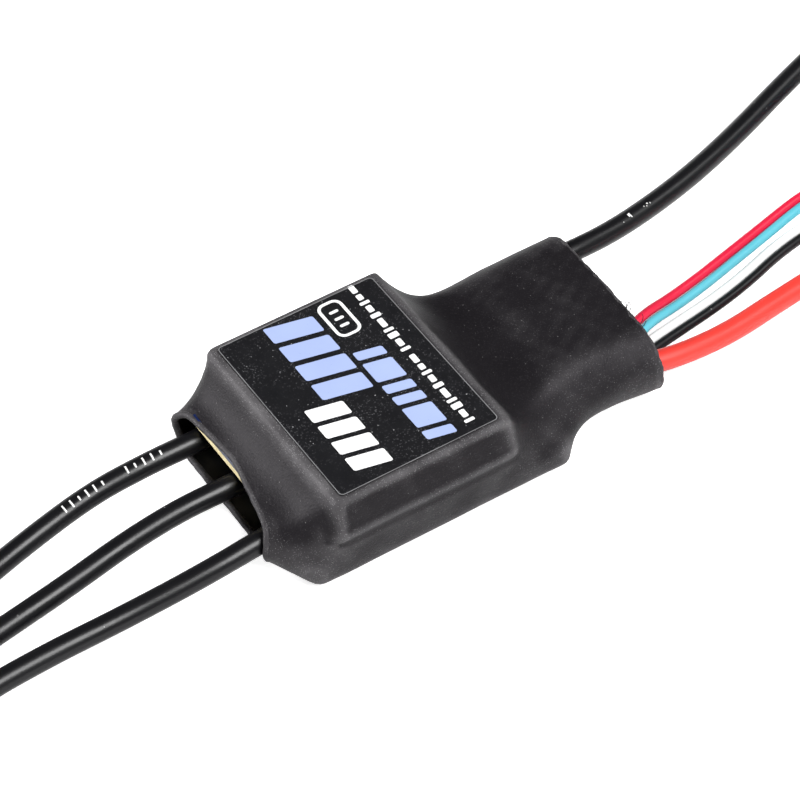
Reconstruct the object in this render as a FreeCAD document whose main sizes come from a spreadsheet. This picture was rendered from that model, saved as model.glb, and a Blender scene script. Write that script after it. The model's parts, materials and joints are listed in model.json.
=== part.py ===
import FreeCAD
import Part
import Sketcher
import os
import re
from math import acos, cos, pi, tan
from FreeCAD import Vector

# A brushless motor speed controller: two circuit boards, a heat sink and two
# capacitors in a heat-shrink sleeve, with three motor leads at -X, two battery
# leads and four signal wires at +X. It rests on the sleeve's flat underside.

sizes = {
    # sleeve
    "wall": 0.7,
    "grip": 0.15,              # room between the sleeve and the boards' edges
    "slack": 0.1,              # room between the sleeve and the heat sink or the parts below
    "sleeveLength": 57.2,
    "motorMouthWidth": 24.4,
    "motorMouthHeight": 9.2,
    "motorMouthShift": 1.2,
    "batteryMouthWidth": 25.8,
    "batteryMouthHeight": 9.5,
    "batteryMouthShift": 0.4,
    # lower board, which carries the control parts
    "lowerBoardStart": -24.0,
    "lowerBoardLength": 35.7,
    "lowerBoardWidth": 30.4,
    "lowerBoardThick": 1.2,
    "underside": 1.1,          # room for the parts under the lower board
    # upper board, which carries the power transistors
    "boardGap": 4.1,
    "upperBoardStart": -20.6,
    "upperBoardLength": 23.6,
    "upperBoardWidth": 31.4,
    "upperBoardThick": 1.6,
    "tongueLength": 5.6,
    "tongueWidth": 20.8,
    "tongueShift": 0.3,
    # power transistors, pad and heat sink
    "fetLength": 5.0,
    "fetWidth": 6.0,
    "fetHeight": 1.0,
    "fetPitchX": 5.7,
    "fetPitchY": 9.2,
    "padThick": 0.5,
    "padInset": 0.4,
    "sinkLength": 23.3,
    "sinkWidth": 28.4,
    "sinkThick": 3.0,
    "sinkInset": 0.1,          # the heat sink starts this far inside the upper board's end
    # label
    "labelLength": 22.7,
    "labelWidth": 28.6,
    "labelThick": 0.12,
    "labelCorner": 0.6,
    "labelShift": -0.15,
    # capacitors
    "canDiameter": 8.0,
    "canLength": 11.5,
    "canSkin": 0.15,
    "canGap": 0.2,
    "canShift": 1.1,
    "canStart": 12.0,
    "canFloor": 0.2,
    "canHeadroom": 0.6,
    "bungThick": 1.0,
    "canLeadDiameter": 0.6,
    "canLeadSpacing": 3.5,
    "canBoardThick": 1.0,
    "canBoardHeight": 4.9,
    "canBoardWidth": 14.6,
    "canBoardShift": 1.8,
    "canLeadStub": 0.6,
    "canBoardGap": 0.4,        # between the capacitors' ends and their board
    # leads and wires
    "leadDiameter": 3.0,
    "coreDiameter": 1.5,
    "leadRoom": 0.9,
    "tipLength": 6.0,
    "leadEndLength": 3.0,      # stripped end inside the sleeve
    "jointLength": 2.6,
    "jointWidth": 3.2,
    "jointOffset": 0.2,        # bare core between the insulation and its solder joint
    "wireDiameter": 1.3,
    "wireCoreDiameter": 0.5,
    "wireEndLength": 2.0,
    "wirePadWidth": 1.2,
    "coilInner": 4.9,
    "coilOuter": 8.6,
    # wire housings
    "housingLength": 14.0,
    "housingHeight": 2.6,
    "contactPitch": 2.54,
    "housingBack": 3.0,
    "contactSide": 1.5,
    "contactWall": 0.3,
    "contactLength": 8.0,
    # small parts
    "pinSide": 0.64,
    "pinStart": 2.0,           # from the upper board's end to the first pin
    "pinEdge": 1.0,            # from the lower board's edge to the pins' middle line
    "chipLength": 1.6,
    "chipWidth": 0.8,
    "chipHeight": 0.7,
    "chipPitchX": 6.5,
    "chipPitchY": 6.0,
}

doc = FreeCAD.newDocument("SpeedController")
sheet = doc.addObject("Spreadsheet::Sheet", "Sizes")
for row, (name, value) in enumerate(sizes.items(), start=1):
    sheet.set(f"A{row}", name)
    sheet.set(f"B{row}", str(value))
    sheet.setAlias(f"B{row}", name)
doc.recompute()

# Places that several pieces share, as formulas of the sheet's own values.
places = {
    "lowerBottom": "(wall + slack + underside)",
    "lowerTop": "(lowerBottom + lowerBoardThick)",
    "lowerEnd": "(lowerBoardStart + lowerBoardLength)",
    "upperBottom": "(lowerTop + boardGap)",
    "upperTop": "(upperBottom + upperBoardThick)",
    "upperEnd": "(upperBoardStart + upperBoardLength)",
    "tongueStart": "(upperBoardStart - tongueLength)",
    "fetTop": "(upperTop + fetHeight)",
    "sinkBottom": "(fetTop + padThick)",
    "sinkTop": "(sinkBottom + sinkThick)",
    "sinkStart": "(upperBoardStart + sinkInset)",
    "sinkEnd": "(sinkStart + sinkLength)",
    "blockTop": "(sinkTop + wall)",
    "canMiddle": "(wall + canFloor + canDiameter / 2)",
    "canTop": "(wall + canFloor + canDiameter)",
    "batteryHalf": "(canDiameter + canGap / 2 + leadDiameter + leadRoom + wall)",
    "batteryTop": "(canTop + canHeadroom + wall)",
    "lowHalf": "(lowerBoardWidth / 2 + grip + wall)",
    "middleHalf": "(upperBoardWidth / 2 + grip + wall)",
    "topHalf": "(sinkWidth / 2 + slack + wall)",
    "sleeveEnd": "(sleeveLength / 2)",
}


def formula(text):
    """Write a formula of plain names as one that reads the sheet's cells."""
    text = str(text)
    for _ in places:
        text = re.sub(r"[A-Za-z]\w*", lambda word: places.get(word.group(), word.group()), text)
    return re.sub(r"[A-Za-z]\w*", lambda word: "Sizes." + word.group(), text)


def worth(text):
    """The number that a formula of plain names comes to."""
    probe = doc.getObject("Probe") or doc.addObject("App::FeaturePython", "Probe")
    if "number" not in probe.PropertiesList:
        probe.addProperty("App::PropertyFloat", "number")
    probe.setExpression("number", formula(text))
    probe.recompute()
    return probe.number


subParts = []


def keep(piece, label):
    piece.Label = label
    subParts.append(piece)
    return piece


def place(piece, corner):
    for axis, text in zip("xyz", corner):
        piece.setExpression("Placement.Base." + axis, formula(text))
    return piece


def box(name, corner, spans):
    piece = doc.addObject("Part::Box", name)
    for side, text in zip(("Length", "Width", "Height"), spans):
        piece.setExpression(side, formula(text))
    return place(piece, corner)


def rod(name, start, radius, length, axis="x"):
    """A round bar from start, along +X or +Z."""
    piece = doc.addObject("Part::Cylinder", name)
    if axis == "x":
        piece.Placement.Rotation = FreeCAD.Rotation(Vector(0, 1, 0), 90)
    piece.setExpression("Radius", formula(radius))
    piece.setExpression("Height", formula(length))
    return place(piece, start)


def group(label, pieces):
    """Alike pieces that share one node, as separate solids."""
    piece = doc.addObject("Part::Compound", label)
    piece.Links = pieces
    return keep(piece, label)


def cut(name, base, tool):
    piece = doc.addObject("Part::Cut", name)
    piece.Base = base
    piece.Tool = tool
    return piece


def originPlane(body, role):
    return [item for item in body.Origin.OriginFeatures if item.Role == role][0]


def ringSketch(body, name, plane, offset, corners):
    """A closed outline of straight edges, each corner tied to the sheet from the sketch's origin."""
    sketch = body.newObject("Sketcher::SketchObject", name)
    sketch.AttachmentSupport = [(originPlane(body, plane), "")]
    sketch.MapMode = "FlatFace"
    sketch.setExpression("AttachmentOffset.Base.z", formula(offset))
    points = [Vector(worth(across), worth(up), 0) for across, up in corners]
    for index, point in enumerate(points):
        sketch.addGeometry(Part.LineSegment(point, points[(index + 1) % len(points)]), False)
    for index in range(len(points)):
        sketch.addConstraint(Sketcher.Constraint("Coincident", index, 2, (index + 1) % len(points), 1))
    for index, (point, (across, up)) in enumerate(zip(points, corners)):
        for kind, value, text in (("DistanceX", point.x, across), ("DistanceY", point.y, up)):
            if value >= 0:
                number = sketch.addConstraint(Sketcher.Constraint(kind, -1, 1, index, 1, value))
                sketch.setExpression(f"Constraints[{number}]", formula(text))
            else:
                number = sketch.addConstraint(Sketcher.Constraint(kind, index, 1, -1, 1, -value))
                sketch.setExpression(f"Constraints[{number}]", formula(f"0 - ({text})"))
    return sketch


# The sleeve's outline at each station along X, from the motor mouth to the battery mouth:
# place, sideways shift, half widths at the bottom, low, middle and top corners, and the
# heights of the last three.
stations = [
    ("0 - sleeveEnd", "motorMouthShift", "motorMouthWidth / 2 - 3", "motorMouthWidth / 2", "2.2",
     "motorMouthWidth / 2", "motorMouthHeight - 2.8", "motorMouthWidth / 2 - 2.6", "motorMouthHeight"),
    ("tongueStart - 0.2", "tongueShift + 0.4",
     "tongueWidth / 2 + 1.2", "tongueWidth / 2 + 2.9", "lowerBottom",
     "tongueWidth / 2 + 2.6", "upperBottom - 0.6", "tongueWidth / 2 + 1.2", "upperTop + grip + wall + 0.3"),
    ("lowerBoardStart - 0.3", "0", "lowHalf - 2", "lowHalf", "lowerBottom - 0.2",
     "lowHalf - 0.05", "lowerTop + 0.4", "tongueWidth / 2 + 2", "upperTop + 2.2"),
    ("sinkStart - slack - wall", "0", "lowHalf - 2", "lowHalf", "lowerBottom - 0.2",
     "middleHalf", "upperTop", "topHalf", "blockTop"),
    ("sinkEnd + slack + wall", "0", "lowHalf - 2", "lowHalf", "lowerBottom - 0.2",
     "middleHalf", "upperTop", "topHalf", "blockTop"),
    ("sinkEnd + 2.4", "0", "lowHalf - 2", "lowHalf", "lowerBottom - 0.2",
     "middleHalf - 0.9", "upperTop - 0.8", "topHalf - 1.7", "blockTop - 2.4"),
    ("sinkEnd + 6", "0", "lowHalf - 2", "lowHalf", "lowerBottom - 0.2",
     "lowHalf - 0.05", "lowerTop + 0.4", "topHalf - 4.4", "canTop + 0.5"),
    ("lowerEnd + 0.6", "0", "lowHalf - 2.2", "lowHalf", "lowerBottom - 0.2",
     "lowHalf - 0.05", "lowerTop + 0.4", "batteryHalf - 2.5", "batteryTop - 0.4"),
    ("lowerEnd + 2.9", "canShift - 0.5", "batteryHalf - 2.2", "batteryHalf + 0.3", "2.2",
     "batteryHalf + 0.5", "canMiddle + 1.5", "batteryHalf - 2.8", "batteryTop - 0.1"),
    ("canStart + 8", "canShift + 0.2", "batteryHalf - 3", "batteryHalf - 0.2", "2.3",
     "batteryHalf", "canMiddle + 1.7", "batteryHalf - 3", "batteryTop"),
    ("sleeveEnd", "batteryMouthShift", "batteryMouthWidth / 2 - 3.6", "batteryMouthWidth / 2", "2.4",
     "batteryMouthWidth / 2", "batteryMouthHeight - 2.9",
     "batteryMouthWidth / 2 - 3.3", "batteryMouthHeight"),
]


def sleeveOutline(body, name, station, inset):
    """One section of the sleeve, drawn in by the wall for its hollow."""
    offset, shift, bottom, low, lowUp, middle, middleUp, top, topUp = station
    half = [(bottom, inset), (low, lowUp), (middle, middleUp), (top, f"{topUp} - {inset}")]
    corners = [(f"{shift} + ({across}) - {inset}", up) for across, up in half]
    corners += [(f"{shift} - ({across}) + {inset}", up) for across, up in reversed(half)]
    return ringSketch(body, name, "YZ_Plane", offset, corners)


def makeSleeve():
    body = keep(doc.addObject("PartDesign::Body", "heat_shrink_sleeve"), "heat_shrink_sleeve")
    for kind, name, inset in (("AdditiveLoft", "Skin", "0"), ("SubtractiveLoft", "Hollow", "wall")):
        outlines = [
            sleeveOutline(body, f"{name}Outline{index}", station, inset)
            for index, station in enumerate(stations)
        ]
        loft = body.newObject("PartDesign::" + kind, name)
        loft.Profile = outlines[0]
        loft.Sections = outlines[1:]
        loft.Ruled = True


def makeLabel():
    body = keep(doc.addObject("PartDesign::Body", "label"), "label")
    middle = "((sinkStart + sinkEnd) / 2 + labelShift)"
    left, right = f"{middle} - labelLength / 2", f"{middle} + labelLength / 2"
    near, far = "0 - labelWidth / 2", "labelWidth / 2"
    outline = [(left, near), (right, near), (right, far), (left, far)]
    sketch = ringSketch(body, "LabelOutline", "XY_Plane", "blockTop", outline)
    pad = body.newObject("PartDesign::Pad", "LabelPad")
    pad.Profile = sketch
    pad.setExpression("Length", formula("labelThick"))
    doc.recompute()
    corners = body.newObject("PartDesign::Fillet", "LabelCorners")
    nearlyUpright = 0.99
    upright = [
        f"Edge{number}"
        for number, edge in enumerate(pad.Shape.Edges, start=1)
        if abs(edge.tangentAt(edge.FirstParameter).z) > nearlyUpright
    ]
    corners.Base = (pad, upright)
    corners.setExpression("Radius", formula("labelCorner"))


def makeHeatSink():
    keep(box("heat_sink", ("sinkStart", "0 - sinkWidth / 2", "sinkBottom"),
             ("sinkLength", "sinkWidth", "sinkThick")), "heat_sink")
    keep(box("thermal_pad", ("sinkStart + padInset", "0 - sinkWidth / 2 + padInset", "fetTop"),
             ("sinkLength - 2 * padInset", "sinkWidth - 2 * padInset", "padThick")), "thermal_pad")


def makePowerBoard():
    """The upper board: a wide part under the heat sink and a tongue into the motor mouth."""
    body = keep(doc.addObject("PartDesign::Body", "power_board"), "power_board")
    half = "upperBoardWidth / 2"
    near, far = "tongueShift - tongueWidth / 2", "tongueShift + tongueWidth / 2"
    corners = [
        ("tongueStart", near), ("upperBoardStart", near), ("upperBoardStart", f"0 - {half}"),
        ("upperEnd", f"0 - {half}"), ("upperEnd", half), ("upperBoardStart", half),
        ("upperBoardStart", far), ("tongueStart", far),
    ]
    sketch = ringSketch(body, "PowerBoardOutline", "XY_Plane", "upperBottom", corners)
    pad = body.newObject("PartDesign::Pad", "PowerBoardPad")
    pad.Profile = sketch
    pad.setExpression("Length", formula("upperBoardThick"))


def makeControlBoard():
    keep(box("control_board", ("lowerBoardStart", "0 - lowerBoardWidth / 2", "lowerBottom"),
             ("lowerBoardLength", "lowerBoardWidth", "lowerBoardThick")), "control_board")


def makeTransistors():
    """Four rows of three power transistors: two rows switch up and two switch down."""
    for label, first in (("high_side_transistors", 0), ("low_side_transistors", 2)):
        pieces = []
        for column in (first, first + 1):
            for line in (-1, 0, 1):
                corner = (
                    f"(sinkStart + sinkEnd) / 2 + ({column} - 1.5) * fetPitchX - fetLength / 2",
                    f"{line} * fetPitchY - fetWidth / 2",
                    "upperTop",
                )
                name = f"Transistor{column}{line + 1}"
                pieces.append(box(name, corner, ("fetLength", "fetWidth", "fetHeight")))
        group(label, pieces)


def makeBoardParts():
    """Parts on the two boards. Each row: node, then corners on the board's face and sizes."""
    onLower = {
        "microcontroller": [(-14.0, -9.0, 5.0, 5.0, 0.9)],
        "gate_drivers": [(-6.0, -13.0 + 5.2 * index, 4.0, 4.0, 0.9) for index in range(3)],
        "crystal": [(-17.6, -7.2, 2.0, 1.6, 0.6)],
        "supply_regulator": [(3.0, -2.0, 3.0, 3.0, 1.1)],
        "supply_inductor": [(3.4, 2.6, 4.0, 4.0, 2.0)],
        "status_light": [(9.6, 10.4, 1.6, 0.8, 0.6)],
        "current_shunts": [(-4.6, 5.0 + 3.6 * index, 6.3, 3.0, 0.6) for index in range(2)],
    }
    for label, rows in onLower.items():
        pieces = [
            box(f"{label}{index}", (x, y, "lowerTop"), (length, width, height))
            for index, (x, y, length, width, height) in enumerate(rows)
        ]
        if len(pieces) == 1:
            keep(pieces[0], label)
        else:
            group(label, pieces)
    chip = ("chipLength", "chipWidth", "chipHeight")
    under = "lowerBottom - chipHeight"
    group("ceramic_capacitors", [
        box(f"Ceramic{column}{line}",
            (f"{column} * chipPitchX - 20", f"{line} * chipPitchY - 12", under), chip)
        for column in range(5) for line in range(4)
    ])
    group("chip_resistors", [
        box(f"Resistor{column}{line}",
            (f"{column} * chipPitchX - 17.4", f"{line} * chipPitchY - 9", under), chip)
        for column in range(4) for line in range(4)
    ])


def makeBoardPins():
    """Square pins that carry current and signals between the boards."""
    pieces = []
    for line in (-1, 1):
        for index in range(6):
            corner = (
                f"upperBoardStart + pinStart + {index} * contactPitch",
                f"{line} * (lowerBoardWidth / 2 - pinEdge) - pinSide / 2",
                "lowerTop",
            )
            pieces.append(box(f"Pin{line + 1}{index}", corner, ("pinSide", "pinSide", "boardGap")))
    group("board_pins", pieces)


canPlaces = ["(canShift + (canDiameter + canGap) / 2)", "(canShift - (canDiameter + canGap) / 2)"]
canBoardFace = "(canStart - canBoardThick - canBoardGap)"       # away from the capacitors


def makeCapacitors():
    """Two round capacitors lying along X, soldered to a small upright board."""
    inner = "(canDiameter / 2 - canSkin)"
    cans, skins, bungs, leads = [], [], [], []
    for index, across in enumerate(canPlaces):
        start = ("canStart", across, "canMiddle")
        bungs.append(rod(f"Bung{index}", start, inner, "bungThick"))
        inside = ("canStart + bungThick", across, "canMiddle")
        cans.append(rod(f"Can{index}", inside, inner, "canLength - bungThick"))
        outer = rod(f"SkinOuter{index}", start, "canDiameter / 2", "canLength")
        hole = rod(f"SkinHole{index}", start, inner, "canLength")
        skins.append(cut(f"Skin{index}", outer, hole))
        for side in (-1, 1):
            lead = (f"{canBoardFace} - canLeadStub", f"{across} + {side} * canLeadSpacing / 2", "canMiddle")
            length = "canStart - " + canBoardFace + " + canLeadStub"
            leads.append(rod(f"Lead{index}{side + 1}", lead, "canLeadDiameter / 2", length))
    group("capacitor_cans", cans)
    group("capacitor_skins", skins)
    group("capacitor_bungs", bungs)
    group("capacitor_leads", leads)
    corner = (canBoardFace, "canBoardShift - canBoardWidth / 2", "lowerTop")
    board = box("CapacitorBoardBlank", corner, ("canBoardThick", "canBoardWidth", "canBoardHeight"))
    for index, across in enumerate(canPlaces):
        for side in (-1, 1):
            start = (canBoardFace, f"{across} + {side} * canLeadSpacing / 2", "canMiddle")
            hole = rod(f"LeadHole{index}{side + 1}", start, "canLeadDiameter / 2", "canBoardThick")
            board = cut(f"CapacitorBoard{index}{side + 1}", board, hole)
    keep(board, "capacitor_board")


# Centre lines of the leads and wires, in millimetres, each from its solder joint to its far end.
motorRoutes = {
    "motor_lead_far": [
        (-24.0, 9.55, 5.2), (-28.2, 9.6, 5.2), (-33.6, 9.9, 4.9), (-41.0, 10.4, 3.7), (-49.5, 9.6, 2.1),
        (-58.0, 7.6, 1.55), (-68.0, 4.4, 1.5), (-80.0, 2.4, 1.5), (-92.0, 2.6, 1.5), (-102.0, 4.4, 1.5),
        (-111.0, 6.8, 1.5),
    ],
    "motor_lead_middle": [
        (-24.0, 0.95, 5.2), (-28.2, 1.0, 5.2), (-34.0, 1.35, 4.8), (-41.5, 1.3, 3.6), (-50.0, 0.5, 2.2),
        (-60.0, -0.7, 1.55), (-71.0, -2.6, 1.5), (-83.0, -5.4, 1.5), (-95.0, -7.2, 1.5),
        (-105.0, -7.6, 1.5), (-113.0, -7.0, 1.5),
    ],
    "motor_lead_near": [
        (-24.0, -8.45, 5.2), (-28.2, -8.5, 5.2), (-33.0, -8.7, 4.8), (-39.5, -8.2, 3.5),
        (-47.5, -7.35, 2.0), (-57.0, -7.0, 1.5), (-67.0, -7.6, 1.5), (-78.0, -10.2, 1.5),
        (-89.0, -14.4, 1.5), (-99.0, -17.6, 1.5), (-108.0, -19.4, 1.5),
    ],
}
batteryRoutes = {
    "battery_lead_black": [
        (4.6, 10.8, 5.2), (9.6, 10.8, 5.25), (16.0, 11.2, 5.6), (23.0, 10.9, 6.1), (30.0, 10.2, 6.4),
        (37.5, 10.9, 5.6), (46.5, 13.0, 4.6), (56.0, 16.0, 3.5), (66.0, 20.0, 2.3), (77.0, 24.6, 1.55),
        (88.0, 28.4, 1.5), (99.0, 30.6, 1.5), (109.0, 31.2, 1.5), (118.0, 30.8, 1.5),
    ],
    "battery_lead_red": [
        (4.6, -10.4, 5.95), (9.4, -10.4, 5.95), (14.2, -10.15, 5.85), (19.5, -9.05, 5.4),
        (24.5, -9.05, 4.85), (29.0, -9.9, 4.1), (34.5, -10.3, 3.4), (42.0, -9.8, 2.4),
        (50.5, -8.2, 1.6), (60.0, -7.1, 1.5), (67.5, -9.0, 1.5), (75.0, -13.2, 1.5), (82.2, -18.2, 1.5),
        (90.0, -21.2, 1.5), (99.0, -22.4, 1.5), (108.0, -22.0, 1.5), (117.0, -20.8, 1.5),
    ],
}
# Each signal wire lies free up to its coil, and a short tail leaves the coil for the housing.
signalRoutes = {
    "signal_wire_crimson": [
        [
            (3.2, -4.0, 9.3), (6.2, -5.0, 8.6), (9.2, -6.4, 7.95), (14.5, -7.1, 7.7),
            (19.5, -7.25, 7.7), (24.5, -6.9, 7.6), (28.5, -5.7, 7.2), (32.5, -3.9, 6.3),
            (37.5, -2.3, 4.7), (43.5, -0.5, 3.6), (50.0, 1.6, 2.6), (57.5, 4.1, 1.3), (65.5, 6.4, 0.65),
            (72.0, 6.9, 0.65), (76.8, 5.2, 0.65), (80.82, 3.76, 0.65),
        ],
        [(88.37, 4.29, 3.25), (92.6, 6.6, 2.5), (95.9, 7.9, 1.7), (98.85, 8.23, 1.35)],
    ],
    "signal_wire_cyan": [
        [
            (3.2, -5.4, 9.3), (6.2, -6.4, 8.6), (9.2, -7.8, 7.9), (14.5, -8.45, 7.75),
            (19.5, -8.65, 7.6), (24.5, -8.3, 7.4), (28.5, -7.1, 6.9), (32.5, -5.3, 6.0),
            (37.5, -3.7, 4.4), (43.5, -1.9, 3.3), (50.0, 0.2, 2.4), (57.5, 2.7, 1.2),
            (65.2, 4.95, 0.65), (71.6, 5.35, 0.65), (76.4, 3.7, 0.65), (80.3, 2.25, 0.65),
            (84.0, 3.2, 0.65),
        ],
        [(89.98, 5.38, 4.55), (93.0, 8.0, 3.6), (95.9, 10.2, 2.0), (98.85, 10.77, 1.35)],
    ],
    "signal_wire_white": [
        [
            (6.0, -5.9, 3.95), (8.4, -6.05, 3.95), (11.0, -7.6, 3.9), (13.6, -8.1, 3.8),
            (16.6, -7.95, 2.7), (20.6, -7.5, 2.1), (25.5, -6.9, 2.3), (31.5, -5.6, 2.7),
            (37.5, -4.5, 2.3), (43.5, -3.3, 1.7), (50.0, -1.6, 1.1), (57.0, 0.75, 0.7),
            (64.7, 2.0, 0.65), (72.8, 1.5, 0.65), (80.2, 0.45, 0.65), (86.4, 0.65, 0.65),
            (91.4, 2.05, 0.65), (95.87, -0.15, 0.65),
        ],
        [(98.33, -1.38, 3.25), (102.6, -4.0, 2.6), (106.4, -4.9, 1.6), (109.85, -4.96, 1.35)],
    ],
    "signal_wire_black": [
        [
            (6.0, -7.35, 3.95), (8.4, -7.5, 3.95), (11.0, -9.1, 3.9), (13.6, -9.6, 3.8),
            (16.6, -9.4, 2.7), (20.6, -8.9, 2.2), (25.5, -8.3, 2.4), (31.5, -7.0, 2.7),
            (37.5, -5.9, 2.3), (43.5, -4.7, 1.7), (50.0, -3.0, 1.1), (57.0, -0.65, 0.7),
            (64.5, 0.55, 0.65), (72.5, 0.05, 0.65), (80.0, -1.0, 0.65), (86.4, -0.9, 0.65),
            (91.71, 0.21, 0.65),
        ],
        [(99.91, -2.78, 4.55), (102.6, -6.0, 3.8), (106.0, -9.3, 2.1), (109.85, -10.04, 1.35)],
    ],
}
# Each pair's coil and housing: the coil's middle, the housing's back face and middle line,
# its number of ways, and the two ways that hold a contact.
pairs = {
    "data": ((84.0, 12.5), (99.0, 9.5), 2, (0, 1)),
    "throttle": ((93.0, -9.0), (110.0, -7.5), 3, (0, 2)),
}


bendShare = 0.45        # how far along the shorter run beside it each bend reaches


def smoothPath(points):
    """Straight runs joined by tangent arcs, as large as the two runs allow, and the arcs' radii."""
    points = [Vector(*point) for point in points]
    edges, radii, start = [], [], points[0]
    for before, corner, after in zip(points, points[1:], points[2:]):
        towards, away = corner - before, after - corner
        shorter = min(towards.Length, away.Length)
        towards.normalize()
        away.normalize()
        turn = acos(max(-1.0, min(1.0, towards.dot(away))))
        back = bendShare * shorter
        radius = back / tan(turn / 2)
        radii.append(radius)
        first, last = corner - towards * back, corner + away * back
        inward = (away - towards).normalize()
        middle = corner + inward * radius * (1 / cos(turn / 2) - 1)
        edges.append(Part.LineSegment(start, first).toShape())
        edges.append(Part.Arc(first, middle, last).toShape())
        start = last
    edges.append(Part.LineSegment(start, points[-1]).toShape())
    return Part.Wire(edges), radii


def tube(points, diameter):
    """A round tube along a path, with its volume compared with its section times its length."""
    path, radii = smoothPath(points)
    start = path.Edges[0].firstVertex().Point
    along = path.Edges[0].tangentAt(path.Edges[0].FirstParameter)
    ring = Part.Wire([Part.Circle(start, along, diameter / 2).toShape()])
    solid = path.makePipeShell([ring], True, True)
    expected = pi * diameter ** 2 / 4 * path.Length
    print(f"  length {path.Length:.1f}, tightest arc {min(radii) / diameter:.1f} diameters,"
          f" volume {solid.Volume / expected:.3f} of expected")
    return solid


def cordNode(label, routes, diameter):
    """A lead or wire: one tube for each stretch that isn't coiled."""
    print(label)
    solids = [tube(points, diameter) for points in routes]
    piece = doc.addObject("Part::Feature", label)
    piece.Shape = solids[0] if len(solids) == 1 else Part.makeCompound(solids)
    piece.Placement = FreeCAD.Placement()
    return keep(piece, label)


def straightEnd(name, point, beyond, radius, length):
    """A round end that carries a lead's line on from point, away from beyond."""
    piece = doc.addObject("Part::Feature", name)
    away = (Vector(*point) - Vector(*beyond)).normalize()
    piece.Shape = Part.makeCylinder(radius, length, Vector(*point), away)
    return piece


def makeLeads():
    """Thick leads, their tinned far ends, and their soldered ends under the upper board."""
    diameter, core = sheet.get("leadDiameter"), sheet.get("coreDiameter")
    for kind, routes in (("motor", motorRoutes), ("battery", batteryRoutes)):
        tips, ends, joints = [], [], []
        toBoard = 1 if kind == "motor" else -1
        for label, points in routes.items():
            cordNode(label, [points], diameter)
            tip = straightEnd(label + "_tip", points[-1], points[-2], core / 2, sheet.get("tipLength"))
            tips.append(tip)
            x, y, z = points[0]
            behind = (x - toBoard, y, z)
            ends.append(straightEnd(label + "_end", points[0], behind, core / 2, sheet.get("leadEndLength")))
            low = f"{x} + jointOffset" if toBoard > 0 else f"{x} - jointOffset - jointLength"
            base = box(label + "Solder", (low, f"{y} - jointWidth / 2", z),
                       ("jointLength", "jointWidth", f"upperBottom - {z}"))
            hole = rod(label + "SolderHole", (low, y, z), "coreDiameter / 2", "jointLength")
            joints.append(cut(label + "Joint", base, hole))
        group(kind + "_lead_tips", tips)
        group(kind + "_lead_ends", ends)
        group(kind + "_solder_joints", joints)


def makeSignalWires():
    for label, routes in signalRoutes.items():
        cordNode(label, routes, sheet.get("wireDiameter"))
    ends, pads = [], []
    for label, routes in signalRoutes.items():
        x, y, z = routes[0][0]
        reach = "wireEndLength"
        ends.append(rod(label + "End", (f"{x} - {reach}", y, z), "wireCoreDiameter / 2", reach))
        floor = "upperTop" if z > worth("upperTop") else "lowerTop"
        base = (f"{x} - {reach}", f"{y} - wirePadWidth / 2", floor)
        block = box(label + "Solder", base, (f"{reach} - jointOffset", "wirePadWidth", f"{z} - {floor}"))
        hole = rod(label + "SolderHole", (f"{x} - {reach}", y, z), "wireCoreDiameter / 2", reach)
        pads.append(cut(label + "Joint", block, hole))
    group("signal_wire_ends", ends)
    group("signal_solder_joints", pads)


def makePair(kind, coil, back, ways, used):
    """What a pair of signal wires carries outside: its coil's outer shape and its housing."""
    (x, y), (backX, backY) = coil, back
    ring = rod(kind + "CoilOuter", (x, y, 0), "coilOuter", "4 * wireDiameter", axis="z")
    hole = rod(kind + "CoilInner", (x, y, 0), "coilInner", "4 * wireDiameter", axis="z")
    keep(cut(kind + "_wire_coil", ring, hole), kind + "_wire_coil")
    width = f"{ways} * contactPitch"
    housing = box(kind + "HousingBlank", (backX, f"{backY} - {width} / 2", 0),
                  ("housingLength", width, "housingHeight"))
    contacts = []
    for way in range(ways):
        across = f"{backY} + ({way} - {ways - 1} / 2) * contactPitch - contactSide / 2"
        corner = (f"{backX} + housingBack", across, "(housingHeight - contactSide) / 2")
        opening = ("housingLength - housingBack", "contactSide", "contactSide")
        socket = box(f"{kind}Socket{way}", corner, opening)
        housing = cut(f"{kind}Housing{way}", housing, socket)
        if way in used:
            size = ("contactLength", "contactSide", "contactSide")
            inner = (corner[0], f"{across} + contactWall", f"{corner[2]} + contactWall")
            bore = ("contactLength", "contactSide - 2 * contactWall", "contactSide - 2 * contactWall")
            contacts.append(cut(f"{kind}Contact{way}", box(f"{kind}Crimp{way}", corner, size),
                                box(f"{kind}Bore{way}", inner, bore)))
    keep(housing, kind + "_plug_housing")
    group(kind + "_plug_contacts", contacts)


makeSleeve()
makeLabel()
makeHeatSink()
makePowerBoard()
makeControlBoard()
makeTransistors()
makeBoardParts()
makeBoardPins()
makeCapacitors()
makeLeads()
makeSignalWires()
for kind, facts in pairs.items():
    makePair(kind, *facts)
doc.recompute()

for item in doc.Objects:
    bad = [word for word in item.State if word in ("Invalid", "Error")]
    if bad:
        raise RuntimeError(f"{item.Label}: {bad}")
for item in subParts:
    if item.Shape.isNull() or not item.Shape.isValid():
        raise RuntimeError(f"{item.Label}: its shape is empty or not valid")

os.makedirs("parts", exist_ok=True)
for item in subParts:
    item.Shape.exportStep(f"parts/{item.Label}.step")
print(len(subParts), "sub-parts written")
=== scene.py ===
import json
import math
import random

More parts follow.
